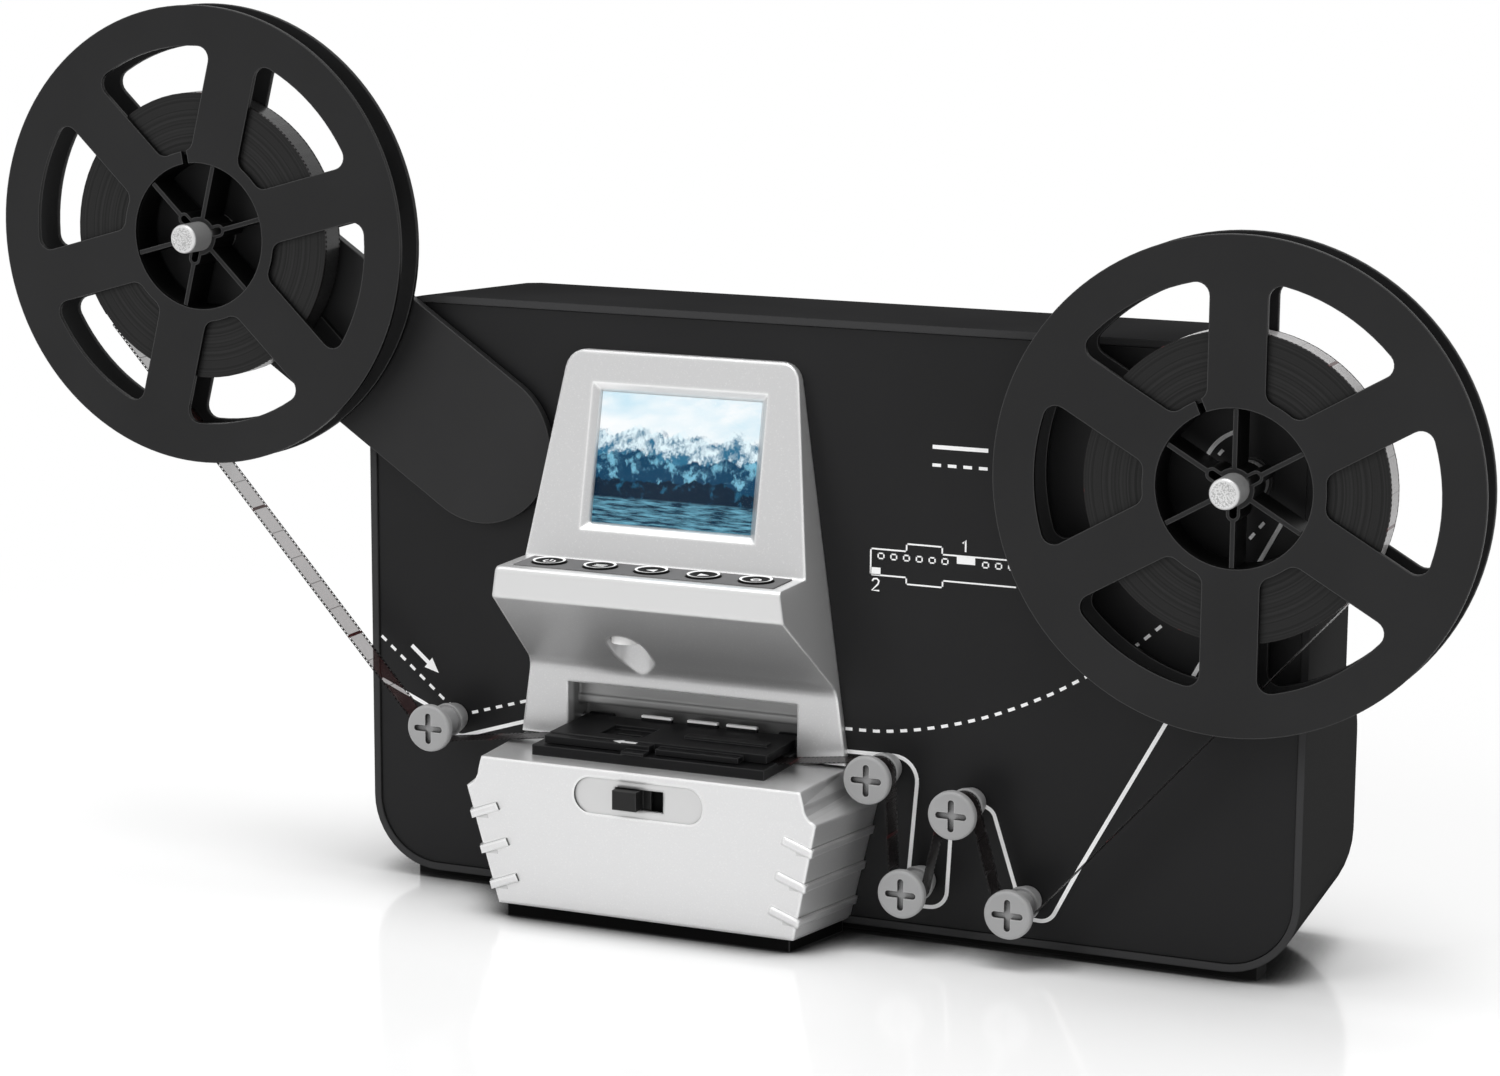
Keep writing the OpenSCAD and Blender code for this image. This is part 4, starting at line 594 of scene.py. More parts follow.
# Fine lines left by turning or rolling: a long-drawn noise for bump and gloss
drawn_lines, add, link, takes, gives = node_group(
    "drawn_lines", {"Across": 1800.0, "Along": 60.0}, ("Height", "Tone"))
where = add("ShaderNodeTexCoord")
draw = add("ShaderNodeCombineXYZ")
link(takes["Along"], draw.inputs["X"])
link(takes["Across"], draw.inputs["Y"])
link(takes["Along"], draw.inputs["Z"])
drawn = add("ShaderNodeVectorMath")
drawn.operation = "MULTIPLY"
link(where.outputs["Object"], drawn.inputs[0])
link(draw.outputs[0], drawn.inputs[1])
lines = add("ShaderNodeTexNoise")
lines.inputs["Scale"].default_value = 1
lines.inputs["Detail"].default_value = 3
link(drawn.outputs[0], lines.inputs["Vector"])
patches = add("ShaderNodeTexNoise")
patches.inputs["Scale"].default_value = 140
link(where.outputs["Object"], patches.inputs["Vector"])
link(lines.outputs["Fac"], gives["Height"])
link(patches.outputs["Fac"], gives["Tone"])


def bare_metal(name, colour, dull, rough, edge=0.00025, metallic=1.0, grain=0.12):
    """Metal with drawn lines, duller in patches, with its edges broken."""
    material, shader, link = new_material(name)
    round_off = place_group(material, soft_edge, Radius=edge)
    turned = place_group(material, drawn_lines)
    tone = spread(material, turned.outputs["Tone"], 0, 1)
    link(mixed(material, tone, dull, colour), shader.inputs["Base Color"])
    link(spread(material, turned.outputs["Height"], rough - 0.06, rough + 0.08), shader.inputs["Roughness"])
    link(bumped(material, turned.outputs["Height"], round_off.outputs["Normal"], grain, 0.00005),
         shader.inputs["Normal"])
    shader.inputs["Metallic"].default_value = metallic
    return material


zinc = bare_metal("zinc_plate", STEEL, STEEL_DULL, 0.34)
finish(zinc, "panel_screws", "arm_retainer", "arm_screw", "drive_plate", "takeup_motor")

# Drive inside the case: a turned brass motor pulley, a cream moulded pulley on the take-up
# shaft and a black rubber belt between them.
finish(bare_metal("pulley_brass", (0.62, 0.47, 0.22), (0.48, 0.35, 0.15), 0.3), "motor_pulley")
finish(moulded("pulley_cream", (0.68, 0.63, 0.52), (0.74, 0.70, 0.60), 0.45), "takeup_pulley")
finish(moulded("belt_rubber", grey(0.012), grey(0.03), 0.7,
               pits=900.0, grain=0.3), "drive_belt")

# Circuit boards: green solder mask over copper, which shows as a faint raster of tracks. They
# stand on posts inside their housings.
board_green, shader, link = new_material("board_green")
tracks = board_green.node_tree.nodes.new("ShaderNodeTexBrick")
tracks.inputs["Scale"].default_value = 260
tracks.inputs["Mortar Size"].default_value = 0.06
tracks.inputs["Color1"].default_value = (0.012, 0.060, 0.022, 1)
tracks.inputs["Color2"].default_value = (0.016, 0.080, 0.030, 1)
tracks.inputs["Mortar"].default_value = (0.035, 0.135, 0.055, 1)
where = board_green.node_tree.nodes.new("ShaderNodeTexCoord")
link(where.outputs["Object"], tracks.inputs["Vector"])
link(tracks.outputs["Color"], shader.inputs["Base Color"])
link(bumped(board_green, tracks.outputs["Fac"], None, 0.2, 0.00004), shader.inputs["Normal"])
shader.inputs["Roughness"].default_value = 0.3
finish(board_green, "main_board", "io_board", "button_board", "lamp_board", "sensor_board")

# Sockets in the back: a black moulded power jack and two tinned steel shells, soldered to their
# board behind openings of the case.
finish(moulded("jack_black", grey(0.012), grey(0.04), 0.4), "power_jack")
finish(bare_metal("tinned_shell", (0.66, 0.66, 0.67), (0.50, 0.50, 0.51), 0.28), "usb_port", "card_slot")

# Head and tray: moulded plastic with silver paint, whose fine flakes sparkle a little and
# leave a slight orange-peel surface. The tray is a paler shade than the head. Both carry painted
# highlights and painted shade.
HEAD_SILVER, HEAD_FLAKE = (0.59, 0.59, 0.593), grey(0.65)
LIP_LIT_SILVER, SIDE_LIT_SILVER = grey(0.67), grey(0.80)
TRAY_SILVER, TRAY_FLAKE = (0.72, 0.72, 0.723), grey(0.76)
SILVER_HIGHLIGHT, SHADED_SILVER = grey(0.98), grey(0.30)
RECESS_SHADED_SILVER, RECESS_END_SHADOW, TRAY_FRONT = grey(0.62), grey(0.10), -29.5 * MM
UPWARD, SIDEWAYS, DOWNWARD = (0.45, 0.75), (0.75, 0.92), (0.15, 0.35)
FLAT_ON, END_ON = (0.996, 0.9995), (0.10, 0.45)
LIP_BAND, SLOT_BAND, FRAME_BAND = (1.2 * MM, 0.6 * MM), (0.8 * MM, 2.5 * MM), 1 * MM
RECESS_BAND, LEFT_BAND = (0.3 * MM, 0.6 * MM), (40 * MM, 41 * MM)

# Flakes in silver paint: random cells for tone and tilt
paint_flakes, add, link, takes, gives = node_group(
    "paint_flakes", {"Flakes": 3600.0}, ("Flake", "Height", "Peel"))
where = add("ShaderNodeTexCoord")
cells = add("ShaderNodeTexVoronoi")
shade = add("ShaderNodeSeparateColor")
fine = add("ShaderNodeTexNoise")
fine.inputs["Scale"].default_value = 4200
peel = add("ShaderNodeTexNoise")
peel.inputs["Scale"].default_value = 420
for step in (cells, fine, peel):
    link(where.outputs["Object"], step.inputs["Vector"])
link(takes["Flakes"], cells.inputs["Scale"])
link(cells.outputs["Color"], shade.inputs[0])
link(shade.outputs[0], gives["Flake"])
link(fine.outputs["Fac"], gives["Height"])
link(peel.outputs["Fac"], gives["Peel"])


def silver_paint(name, colour, flake, edge, metallic, rough):
    """Silver paint on plastic: flakes in tone and gloss, and soft edges with a painted highlight."""
    material, shader, link = new_material(name)
    round_off = place_group(material, soft_edge, Radius=edge)
    flakes = place_group(material, paint_flakes)
    deep = tuple(0.97 * c for c in colour)
    body = mixed(material, spread(material, flakes.outputs["Flake"], 0, 1, 0.0, 1.0), deep,
                 mixed(material, spread(material, flakes.outputs["Flake"], 0, 1, 0.90, 1.0), colour, flake))
    link(mixed(material, round_off.outputs["Edge"], body, SILVER_HIGHLIGHT), shader.inputs["Base Color"])
    link(spread(material, flakes.outputs["Flake"], rough - 0.04, rough + 0.04, 0.0, 1.0),
         shader.inputs["Roughness"])
    orange_peel = bumped(material, flakes.outputs["Peel"], round_off.outputs["Normal"], 0.04, 0.0002)
    link(bumped(material, flakes.outputs["Height"], orange_peel, 0.02, 0.0001), shader.inputs["Normal"])
    shader.inputs["Metallic"].default_value = metallic
    shader.inputs["Specular IOR Level"].default_value = 0.4
    return material


# Painted shade in a narrow recess: darker where the surface close by shuts it in
recess_shade, add, link, takes, gives = node_group("recess_shade", {"Reach": 0.002}, ("Shade",))
near = add("ShaderNodeAmbientOcclusion")
near.samples = 8
near.only_local = True
closed_in = add("ShaderNodeMapRange")
closed_in.inputs["From Min"].default_value = 0.72
closed_in.inputs["From Max"].default_value = 0.36
link(takes["Reach"], near.inputs["Distance"])
link(near.outputs["AO"], closed_in.inputs["Value"])
link(closed_in.outputs[0], gives["Shade"])


def both(material, first, second):
    """Where two masks overlap."""
    return arithmetic(material.node_tree, "MULTIPLY", first, second)


head = silver_paint("head_silver", HEAD_SILVER, HEAD_FLAKE, edge=0.0013, metallic=0.7, rough=0.34)
head_front = -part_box("head_housing")[0].y
face_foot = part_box("screen_window")[0].z
# Painted highlights on the lip, right side, tops and the frame's brow; painted shade in the slot
lip = beyond(head, *(head_front - depth for depth in LIP_BAND), Y=-1.0)
right_side = facing(head, *SIDEWAYS, X=1.0)
level_top = facing(head, *UPWARD, Z=1.0)
on_face = beyond(head, face_foot, face_foot + FRAME_BAND, Z=1.0)
frame_brow = both(head, facing(head, *DOWNWARD, Z=-1.0), on_face)
in_slot = beyond(head, *SLOT_BAND, Y=1.0)
toned(head, (lip, LIP_LIT_SILVER), (right_side, SIDE_LIT_SILVER), (level_top, SILVER_HIGHLIGHT),
      (frame_brow, SILVER_HIGHLIGHT), (in_slot, SHADED_SILVER))
finish(head, "head_housing")
tray = silver_paint("tray_silver", TRAY_SILVER, TRAY_FLAKE, edge=0.0014, metallic=0.74, rough=0.36)
# Painted shade in the recess and creases, a painted shadow at its left end, painted highlights on tops
set_back = beyond(tray, *(TRAY_FRONT + depth for depth in RECESS_BAND), Y=1.0)
recess = both(tray, set_back, facing(tray, *FLAT_ON, Y=-1.0))
creases = place_group(tray, recess_shade, Reach=0.0015).outputs["Shade"]
level_top = facing(tray, *UPWARD, Z=1.0)
left_end = both(tray, facing(tray, *END_ON, X=1.0), beyond(tray, *LEFT_BAND, X=-1.0))
toned(tray, (recess, RECESS_SHADED_SILVER), (creases, SHADED_SILVER), (level_top, SILVER_HIGHLIGHT), (left_end, RECESS_END_SHADOW))
finish(tray, "tray_housing")

# Window: clear polished plastic in front of the display, set into the bevelled frame of
# the head's face.
window, shader, link = new_material("clear_window")
haze = place_group(window, moulded_skin, Pits=900.0, Cloud=30.0)
link(spread(window, haze.outputs["Tone"], 0.01, 0.05), shader.inputs["Roughness"])
shader.inputs["Base Color"].default_value = (0.97, 0.985, 0.99, 1)
shader.inputs["Transmission Weight"].default_value = 1
shader.inputs["IOR"].default_value = 1.08
shader.inputs["Specular IOR Level"].default_value = 0.1
finish(window, "screen_window")

# Display: a lit panel that shows a landscape, snowy ridges behind one another above a lake.
# The picture is drawn from ridge lines and noise on the panel's own two directions.
SCREEN_INSET, LAKE_LINE = 1 * MM, 0.20
screen_low, screen_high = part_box("screen_window")
display, shader, link = new_material("display_picture")
nodes = display.node_tree.nodes
where = nodes.new("ShaderNodeTexCoord")
axes = nodes.new("ShaderNodeSeparateXYZ")
link(where.outputs["Object"], axes.inputs[0])
u = spread(display, axes.outputs["X"], 0, 1, screen_low.x + SCREEN_INSET, screen_high.x - SCREEN_INSET)
v = spread(display, axes.outputs["Z"], 0, 1, screen_low.z + SCREEN_INSET, screen_high.z - SCREEN_INSET)


def sums(operation, first, second):
    """Arithmetic in the display's picture."""
    return arithmetic(display.node_tree, operation, first, second)


def cloth_of_noise(scale_u, scale_v, seed, detail=6.0):
    """Noise over the picture, drawn out by its two scales."""
    spot = nodes.new("ShaderNodeCombineXYZ")
    link(sums("MULTIPLY", u, scale_u), spot.inputs["X"])
    link(sums("MULTIPLY", v, scale_v), spot.inputs["Y"])
    spot.inputs["Z"].default_value = seed
    step = nodes.new("ShaderNodeTexNoise")
    step.inputs["Scale"].default_value = 1
    step.inputs["Detail"].default_value = detail
    step.inputs["Roughness"].default_value = 0.62
    link(spot.outputs[0], step.inputs["Vector"])
    return step.outputs["Fac"]


mist = cloth_of_noise(2.2, 3.4, 4.0)
blue = sums("MULTIPLY", spread(display, mist, 0, 1, 0.38, 0.66), spread(display, v, 0.1, 0.9, 0.5, 1.0))
picture = mixed(display, blue, grey(1.0), (0.45, 0.74, 0.88))
for height, swing, scale, seed, dark, light, snow in [
        (0.70, 0.75, 2.2, 11.0, (0.022, 0.15, 0.27), (0.80, 0.93, 0.98), 0.47),
        (0.52, 0.65, 2.7, 27.0, (0.003, 0.050, 0.115), (0.20, 0.50, 0.66), 0.53),
        (0.34, 0.45, 3.6, 41.0, (0.001, 0.013, 0.034), (0.012, 0.11, 0.20), 0.58)]:
    line = cloth_of_noise(scale, 0.0, seed, 5.0)
    crest = sums("ADD", height, sums("MULTIPLY", sums("SUBTRACT", line, 0.5), swing))
    below = spread(display, sums("SUBTRACT", crest, v), 0, 1, -0.006, 0.006)
    slope = cloth_of_noise(16.0, 9.0, seed + 3)
    lit = spread(display, sums("SUBTRACT", slope, sums("MULTIPLY", sums("SUBTRACT", crest, v), 0.35)),
                 0, 1, snow - 0.06, snow + 0.05)
    picture = mixed(display, below, picture, mixed(display, lit, dark, light))
ripple = spread(display, cloth_of_noise(7.0, 46.0, 63.0), 0, 1, 0.40, 0.66)
shore = spread(display, sums("SUBTRACT", LAKE_LINE, v), 0, 1, -0.006, 0.01)
lake = mixed(display, ripple, (0.001, 0.022, 0.052), (0.16, 0.43, 0.57))
picture = mixed(display, shore, picture, lake)
link(picture, shader.inputs["Emission Color"])
shader.inputs["Emission Strength"].default_value = 1.0
shader.inputs["Base Color"].default_value = (0.01, 0.01, 0.01, 1)
shader.inputs["Roughness"].default_value = 0.6
shader.inputs["Specular IOR Level"].default_value = 0.1
finish(display, "lcd_module")

# Buttons: round dark push buttons with dished tops, each printed with a light ring at its edge
# and a plain sign in white ink. They come up through a grey strip set into the shelf.
RING_IN, RING_OUT = 3.75, 4.45
SIGN_W, SIGN_THICK, SIGN_SUNK = 0.5, 0.06, 0.03
DISH_R, DISH_DEPTH = 30.0, 0.25
finish(moulded("strip_grey", (0.165, 0.165, 0.167), grey(0.24), 0.55, grain=0.1, gloss=0.02),
       "button_strip")
finish(moulded("button_dark", grey(0.010), grey(0.04), 0.5,
               edge=0.0003, grain=0.08, gloss=0.03),
       "button_power", "button_menu", "button_left", "button_right", "button_ok")


def on_button(name):
    """Puts a sign's points on the dished top of a button."""
    low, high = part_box(name)
    top = Vector(((low.x + high.x) / 2, (low.y + high.y) / 2, high.z))

    def lift(p, thick):
        dish = DISH_R - math.sqrt(DISH_R ** 2 - p.length_squared) - DISH_DEPTH
        return top + Vector((p.x, p.y, dish + SIGN_THICK * thick - SIGN_SUNK)) * MM
    return lift


for name in ("power", "menu", "left", "right", "ok"):
    sign = Print(on_button("button_" + name))
    sign.ring(Vector((0, 0)), RING_IN, RING_OUT)
    if name == "power":
        sweep = [math.radians(a) for a in range(125, 416, 10)]
        sign.stroke([1.5 * Vector((math.cos(a), math.sin(a))) for a in sweep], SIGN_W)
        sign.stroke([Vector((0, 0.4)), Vector((0, 2.1))], SIGN_W)
    elif name == "menu":
        for y in (-1.1, 0, 1.1):
            sign.stroke([Vector((-1.7, y)), Vector((1.7, y))], SIGN_W)
    elif name == "ok":
        sign.ring(Vector((0, 0)), 0.9, 1.5)
    else:
        side = -1 if name == "left" else 1
        sign.fill([Vector((side * 1.6, 0)), Vector((-side * 1.3, 1.4)), Vector((-side * 1.3, -1.4))][::side])
    sign.piece("sign_" + name, white_ink, "button_" + name)

# Mode switch: a small black moulded knob that slides in a slot of the tray, and the black slide
# switch behind it. The pull-down unit inside the tray is a grey moulding.
finish(moulded("knob_black", grey(0.010), grey(0.05), 0.4, edge=0.0004), "mode_switch")
finish(moulded("switch_black", grey(0.004), grey(0.01), 0.6, gloss=0.05), "switch_body")
finish(moulded("unit_grey", grey(0.06), grey(0.12), 0.5), "pulldown_unit")

# Film gate: two black mouldings that clamp the film, with steel hinge pins, three white
# strips at the rear edge and a white arrow on the step in front, which shows the film's way.
GATE_BLACK = (0.0085, 0.0085, 0.009)
INK_FOOT, INK_HEAD, STEP_TOP = 0.62 * MM, 0.60 * MM, 50.6
finish(moulded("gate_black", GATE_BLACK, (0.045, 0.045, 0.046), 0.46, edge=0.0005, grain=0.15, gloss=0.12),
       "gate_base", "gate_cover")
finish(bare_metal("pin_steel", STEEL, STEEL_DULL, 0.25), "gate_pins", "roller_pins", "pulldown_claw")
mark_black = moulded("mark_black", GATE_BLACK, grey(0.03), 0.46, gloss=0.12)
mark_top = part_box("gate_marks")[1].z
inked = beyond(mark_black, mark_top - INK_FOOT, mark_top - INK_HEAD, Z=1.0)
finish(toned(mark_black, (inked, INK_WHITE)), "gate_marks")
arrow = Print(lambda p, thick: (p.x * MM, p.y * MM, (STEP_TOP - INK_SUNK + SIGN_THICK * thick) * MM))
arrow.fill(arrow_outline(Vector((-51.4, -17.6)), Vector((-44.4, -17.6)), shaft=0.85, head=1.8, head_long=2.9))
arrow.piece("gate_arrow", white_ink, "gate_cover")

# Lamp and lens: an opal moulded diffuser above the gate, and a turned, black anodised
# lens barrel below it.
finish(moulded("opal_diffuser", (0.93, 0.93, 0.92), grey(0.95), 0.35), "lamp_diffuser")
finish(bare_metal("lens_black", (0.035, 0.035, 0.037), (0.02, 0.02, 0.021), 0.35, metallic=0.7),
       "lens_barrel")

# Supply arm: a smooth black moulded plate that carries the supply reel and swings on its boss
# behind the panel. Both spindles run in black moulded bearings.
finish(moulded("arm_black", (0.0185, 0.0185, 0.0190), grey(0.055), 0.42,
               edge=0.0006, grain=0.06, gloss=0.2), "supply_arm")
finish(moulded("bearing_black", grey(0.012), grey(0.03), 0.4), "supply_bush", "takeup_bush")

# Reels: two satin black mouldings each, a half with the core and a front flange pressed on to it.
# Faces that do not look to the front are painted darker as shade.
reel_black = moulded("reel_black", (0.0185, 0.0185, 0.0189), grey(0.070), 0.40,
                     edge=0.0005, grain=0.05, gloss=0.12)
finish(toned(reel_black, (facing(reel_black, 0.55, 0.15, Y=-1.0), grey(0.003))),
       "supply_reel", "supply_reel_flange", "takeup_reel", "takeup_reel_flange")

# Spindles: turned light metal with a stippled end face and a round side painted darker as
# shade, keyed to the reels.
SPINDLE, SPINDLE_DULL, PITTED, ROUND_SIDE_SHADE = map(grey, (0.74, 0.64, 0.40, 0.32))
spindle = bare_metal("spindle_metal", SPINDLE, SPINDLE_DULL, 0.38, edge=0.0006, metallic=0.4)
nodes, link = spindle.node_tree.nodes, spindle.node_tree.links.new
dots = nodes.new("ShaderNodeTexVoronoi")
dots.inputs["Scale"].default_value = 2600
link(nodes.new("ShaderNodeTexCoord").outputs["Object"], dots.inputs["Vector"])
stipple = both(spindle, facing(spindle, Y=-1.0), spread(spindle, dots.outputs["Distance"], 0, 1, 0.38, 0.75))
shader = nodes["Principled BSDF"]
under = shader.inputs["Normal"].links[0].from_socket
link(bumped(spindle, stipple, under, 0.25, 0.0002), shader.inputs["Normal"])
toned(spindle, (stipple, PITTED), (facing(spindle, 0.6, 0.3, Y=-1.0), ROUND_SIDE_SHADE))
finish(spindle, "supply_spindle", "takeup_spindle")

# Guide rollers: grey satin mouldings that run on steel pins, with a cross recess in the end
# that is painted dark as shade.
roller_grey = moulded("roller_grey", (0.31, 0.31, 0.312), grey(0.46), 0.42,
                      edge=0.0006, grain=0.08, gloss=0.35)
cross = place_group(roller_grey, recess_shade, Reach=0.003).outputs["Shade"]
finish(toned(roller_grey, (cross, grey(0.012))), *(f"guide_roller_{i}" for i in range(1, 6)))

# Film rolls: many turns of thin film wound on the core, seen edge-on as fine rings
# of uneven tone.
supply_at, takeup_at = axis_of("supply_reel"), hub
roll_low, roll_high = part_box("supply_film_roll")
roll_r = (roll_high.x - roll_low.x) / (2 * MM)

# Edges of the turns: rings of uneven tone about an axis from front to back
film_turns, add, link, takes, gives = node_group(
    "film_turns", {"Axis X": 0.0, "Axis Z": 0.0, "Turns": 1300.0}, ("Ring",))
where = add("ShaderNodeTexCoord")
axis = add("ShaderNodeCombineXYZ")
link(takes["Axis X"], axis.inputs["X"])
link(takes["Axis Z"], axis.inputs["Z"])
about = add("ShaderNodeVectorMath")
about.operation = "SUBTRACT"
link(where.outputs["Object"], about.inputs[0])
link(axis.outputs[0], about.inputs[1])
flat = add("ShaderNodeVectorMath")
flat.operation = "MULTIPLY"
flat.inputs[1].default_value = (1, 0, 1)
link(about.outputs[0], flat.inputs[0])
radius = add("ShaderNodeVectorMath")
radius.operation = "LENGTH"
link(flat.outputs[0], radius.inputs[0])
turns = add("ShaderNodeTexNoise")
turns.noise_dimensions = "1D"
turns.inputs["Detail"].default_value = 4
link(takes["Turns"], turns.inputs["Scale"])
link(radius.outputs["Value"], turns.inputs["W"])
link(turns.outputs["Fac"], gives["Ring"])

for name, axis in (("supply", supply_at), ("takeup", takeup_at)):
    roll, shader, link = new_material(name + "_turns")
    ring = place_group(roll, film_turns, **{"Axis X": axis.x * MM, "Axis Z": axis.y * MM}).outputs["Ring"]
    link(mixed(roll, spread(roll, ring, 0, 1), grey(0.008), grey(0.020)),
         shader.inputs["Base Color"])
    link(bumped(roll, ring, None, 0.20, 0.0002), shader.inputs["Normal"])
    shader.inputs["Roughness"].default_value = 0.42
    shader.inputs["Specular IOR Level"].default_value = 0.15
    finish(roll, name + "_film_roll")

# Film: a thin dark strip with perforations along both edges, through which light passes. It
# leaves the supply roll, runs under the first roller, through the gate and round four rollers.
FILM_T, CAD_FILM_T, SLOPE_OVER = 0.16, 0.2, 0.15
HOLE_PITCH, HOLE_LONG, HOLE_WIDE, HOLE_IN = 1.28, 0.64, 0.68, 0.08
FRAME_PITCH, FIRST_MARK, LEAD_STEPS, LEAD_STIFF = 9.0, 21.0, 24, 0.3
RUN_GAP, HUB_R, LIP_R, FILM_Z = 0.3, 3.9, 2.0, 47.95
run_low, run_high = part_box("film_run")
film_y, film_w = (run_low.y + run_high.y) / (2 * MM), (run_high.y - run_low.y) / MM
gate_low, gate_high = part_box("gate_base")
rollers = [axis_of(f"guide_roller_{i}") for i in range(1, 6)]


def heading(a, b):
    """Direction of the straight run from one wheel to the next; a wheel is x, z, radius, side."""
    d = Vector((b[0] - a[0], b[1] - a[1]))
    return math.atan2(d.y, d.x) - math.asin((b[3] * b[2] - a[3] * a[2]) / d.length)


def touch(wheel, way):
    """Where a strip with this heading lies on a wheel."""
    return Vector((wheel[0], wheel[1])) + wheel[3] * wheel[2] * Vector((math.sin(way), -math.cos(way)))


def film_path(wheels, steps=10):
    """The middle of the strip over the wheels, from the second wheel to the last."""
    path = []
    for before, here, after in zip(wheels, wheels[1:], wheels[2:]):
        first, last = heading(before, here), heading(here, after)
        path += [touch(here, first + (last - first) * k / steps) for k in range(steps + 1)]
    return path + [touch(wheels[-1], heading(wheels[-2], wheels[-1]))]


def film_strip(name, path, material, body=None):
    """A strip with perforations along the path, drawn in x and z, centred on the film's middle."""
    lengths = [0.0]
    for a, b in zip(path, path[1:]):
        lengths.append(lengths[-1] + (b - a).length)
    total = lengths[-1]

    def spot(s):
        s = min(max(s, 0), total)
        i = max(k for k in range(len(path) - 1) if lengths[k] <= s + 1e-9)
        return path[i].lerp(path[i + 1], (s - lengths[i]) / max(lengths[i + 1] - lengths[i], 1e-9))

    def side(s):
        u = (spot(s + SLOPE_OVER) - spot(s - SLOPE_OVER)).normalized()
        return Vector((-u.y, u.x))

    count = int(total / HOLE_PITCH)
    pitch = total / count
    stations = []
    for k in range(count):
        stations += [k * pitch, (k + 0.5) * pitch - HOLE_LONG / 2, (k + 0.5) * pitch + HOLE_LONG / 2]
    stations.append(total)
    edge = film_w / 2
    outer, inner = edge - HOLE_IN, edge - HOLE_IN - HOLE_WIDE
    rows = [-edge, -outer, -inner, inner, outer, edge]
    verts, faces, marks_at = [], [], []
    width = len(rows)
    for s in stations:
        p, n = spot(s), side(s)
        for across_by in rows:
            for skin in (-0.5, 0.5):
                q = p + n * (skin * FILM_T)
                verts.append((q.x * MM, (film_y + across_by) * MM, q.y * MM))
                marks_at.append((s - FIRST_MARK, across_by))

    def solid(i, j):
        inside = 0 <= i < len(stations) - 1 and 0 <= j < width - 1
        return inside and not (i % 3 == 1 and j in (1, 3))

    for i in range(len(stations) - 1):
        for j in range(width - 1):
            if not solid(i, j):
                continue
            low = [2 * (m * width + n) for m, n in ((i, j), (i + 1, j), (i + 1, j + 1), (i, j + 1))]
            high = [corner + 1 for corner in low]
            faces += [tuple(high), tuple(reversed(low))]
            for k, beside in enumerate(((i, j - 1), (i + 1, j), (i, j + 1), (i - 1, j))):
                if not solid(*beside):
                    m = (k + 1) % 4
                    faces.append((low[k], low[m], high[m], high[k]))
    mesh = bpy.data.meshes.new(name)
    mesh.from_pydata(verts, [], faces)
    layer = mesh.uv_layers.new(name="film")
    for loop in mesh.loops:
        layer.data[loop.index].uv = marks_at[loop.vertex_index]
    mesh.materials.append(material)
    made = bpy.data.objects.new(name, mesh)
    scene.collection.objects.link(made)
    if body:
        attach(made, body)
    return made


# Marks of the film along its length: dense edges, frame lines and a reddish line every few frames
film_marks, add, link, takes, gives = node_group(
    "film_marks", {"Frame": FRAME_PITCH, "Splice": 5 * FRAME_PITCH}, ("Dense", "Red", "Scuff"))
film = add("ShaderNodeUVMap")
film.uv_map = "film"
axes = add("ShaderNodeSeparateXYZ")
link(film.outputs[0], axes.inputs[0])


def mark_along(operation, value, by, low, high, start, end):
    """One mark on the film: arithmetic on its place, then a range."""
    reach = add("ShaderNodeMapRange")
    for label, number in (("From Min", start), ("From Max", end), ("To Min", low), ("To Max", high)):
        reach.inputs[label].default_value = number
    link(arithmetic(film_marks, operation, value, by), reach.inputs["Value"])
    return reach.outputs[0]


edges = mark_along("ABSOLUTE", axes.outputs["Y"], 0, 0, 1, 3.14, 3.24)
lines = mark_along("FLOORED_MODULO", axes.outputs["X"], takes["Frame"], 0.4, 0, 0.22, 0.34)
splice = mark_along("FLOORED_MODULO", axes.outputs["X"], takes["Splice"], 1, 0, 0.80, 0.95)
dense = edges
for other in (lines, splice):
    dense = arithmetic(film_marks, "MAXIMUM", dense, other)
scuffs = add("ShaderNodeTexNoise")
scuffs.inputs["Scale"].default_value = 700
link(dense, gives["Dense"])
link(splice, gives["Red"])
link(scuffs.outputs["Fac"], gives["Scuff"])


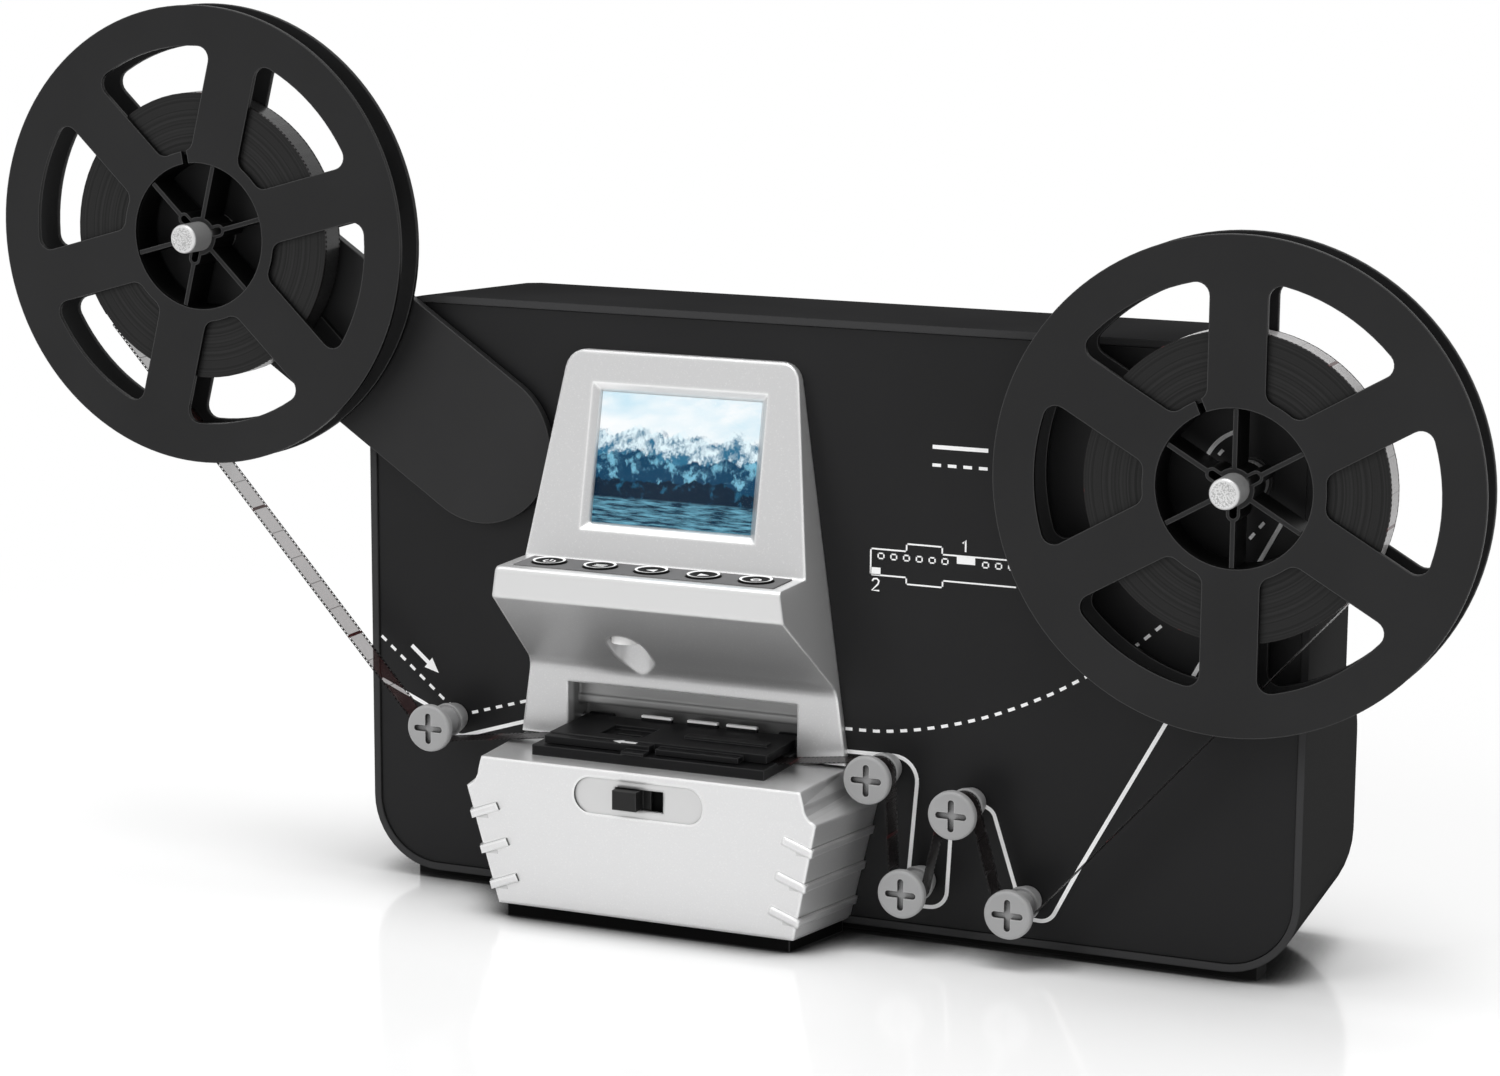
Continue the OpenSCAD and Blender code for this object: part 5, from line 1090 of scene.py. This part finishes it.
def film_stock(name, clear, picture_alpha, edge_alpha):
    """Film base: edges beside the holes denser than the picture, with dark lines between frames."""
    material, shader, link = new_material(name)
    strip = place_group(material, film_marks)
    stock = mixed(material, strip.outputs["Dense"], clear, (0.004, 0.003, 0.003))
    link(mixed(material, strip.outputs["Red"], stock, (0.050, 0.008, 0.008)), shader.inputs["Base Color"])
    if picture_alpha < 1:
        alpha = spread(material, strip.outputs["Dense"], picture_alpha, edge_alpha, 0, 1)
        link(alpha, shader.inputs["Alpha"])
    link(spread(material, strip.outputs["Scuff"], 0.22, 0.38), shader.inputs["Roughness"])
    shader.inputs["Specular IOR Level"].default_value = 0.3
    return material


film_grey = film_stock("film_lead", (0.050, 0.017, 0.017), 0.38, 0.93)
film_dark = film_stock("film_run", (0.010, 0.007, 0.007), 0.70, 0.88)
film_worn = HUB_R + RUN_GAP + CAD_FILM_T / 2
film_wheel = roll_r + RUN_GAP + CAD_FILM_T / 2
wheels = [(supply_at.x, supply_at.y, film_wheel, 1), (*rollers[0], film_worn, 1),
          (gate_low.x / MM, FILM_Z - LIP_R, LIP_R + CAD_FILM_T / 2, -1),
          (gate_high.x / MM, FILM_Z + CAD_FILM_T + LIP_R, LIP_R + CAD_FILM_T / 2, 1),
          (*rollers[1], film_worn, -1), (*rollers[2], film_worn, 1), (*rollers[3], film_worn, -1),
          (*rollers[4], film_worn, 1), (takeup_at.x, takeup_at.y, film_wheel, 1)]
lead_way = heading(wheels[0], wheels[1])
lead_top, lead_foot = touch(wheels[0], lead_way), touch(wheels[1], lead_way)
lead_path = [lead_top.lerp(lead_foot, k / LEAD_STEPS) for k in range(LEAD_STEPS + 1)]
lead = film_strip("film_lead_strip", lead_path, film_grey)
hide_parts("film_lead")
lead_loose = lead_top.lerp(lead_foot, LEAD_STIFF)
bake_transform(lead)
run = film_strip("film_run_strip", film_path(wheels), film_dark, "case")
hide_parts("film_run")

# Outer turn of each roll: the same film with its perforations, laid round the roll from
# where the strip meets it.
TURN_GAP, TURN_END, TURN_STEP = 0.12, 356, 5
# The take-up's turn is painted a light grey, painted light on the same dark film
for name, centre, way, body, grey in [
        ("supply_outer_turn", supply_at, lead_way, "supply", grey(0.014)),
        ("takeup_outer_turn", takeup_at, heading(wheels[-2], wheels[-1]), "takeup", (0.42, 0.41, 0.41))]:
    sweep = [way - math.pi / 2 + math.radians(a) for a in range(0, TURN_END, TURN_STEP)]
    film_strip(name, [centre + (roll_r + TURN_GAP) * Vector((math.cos(a), math.sin(a))) for a in sweep],
               film_stock(name, grey, 1.0, 1.0), body)

# The box round everything shown, the backdrop left out
low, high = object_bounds()
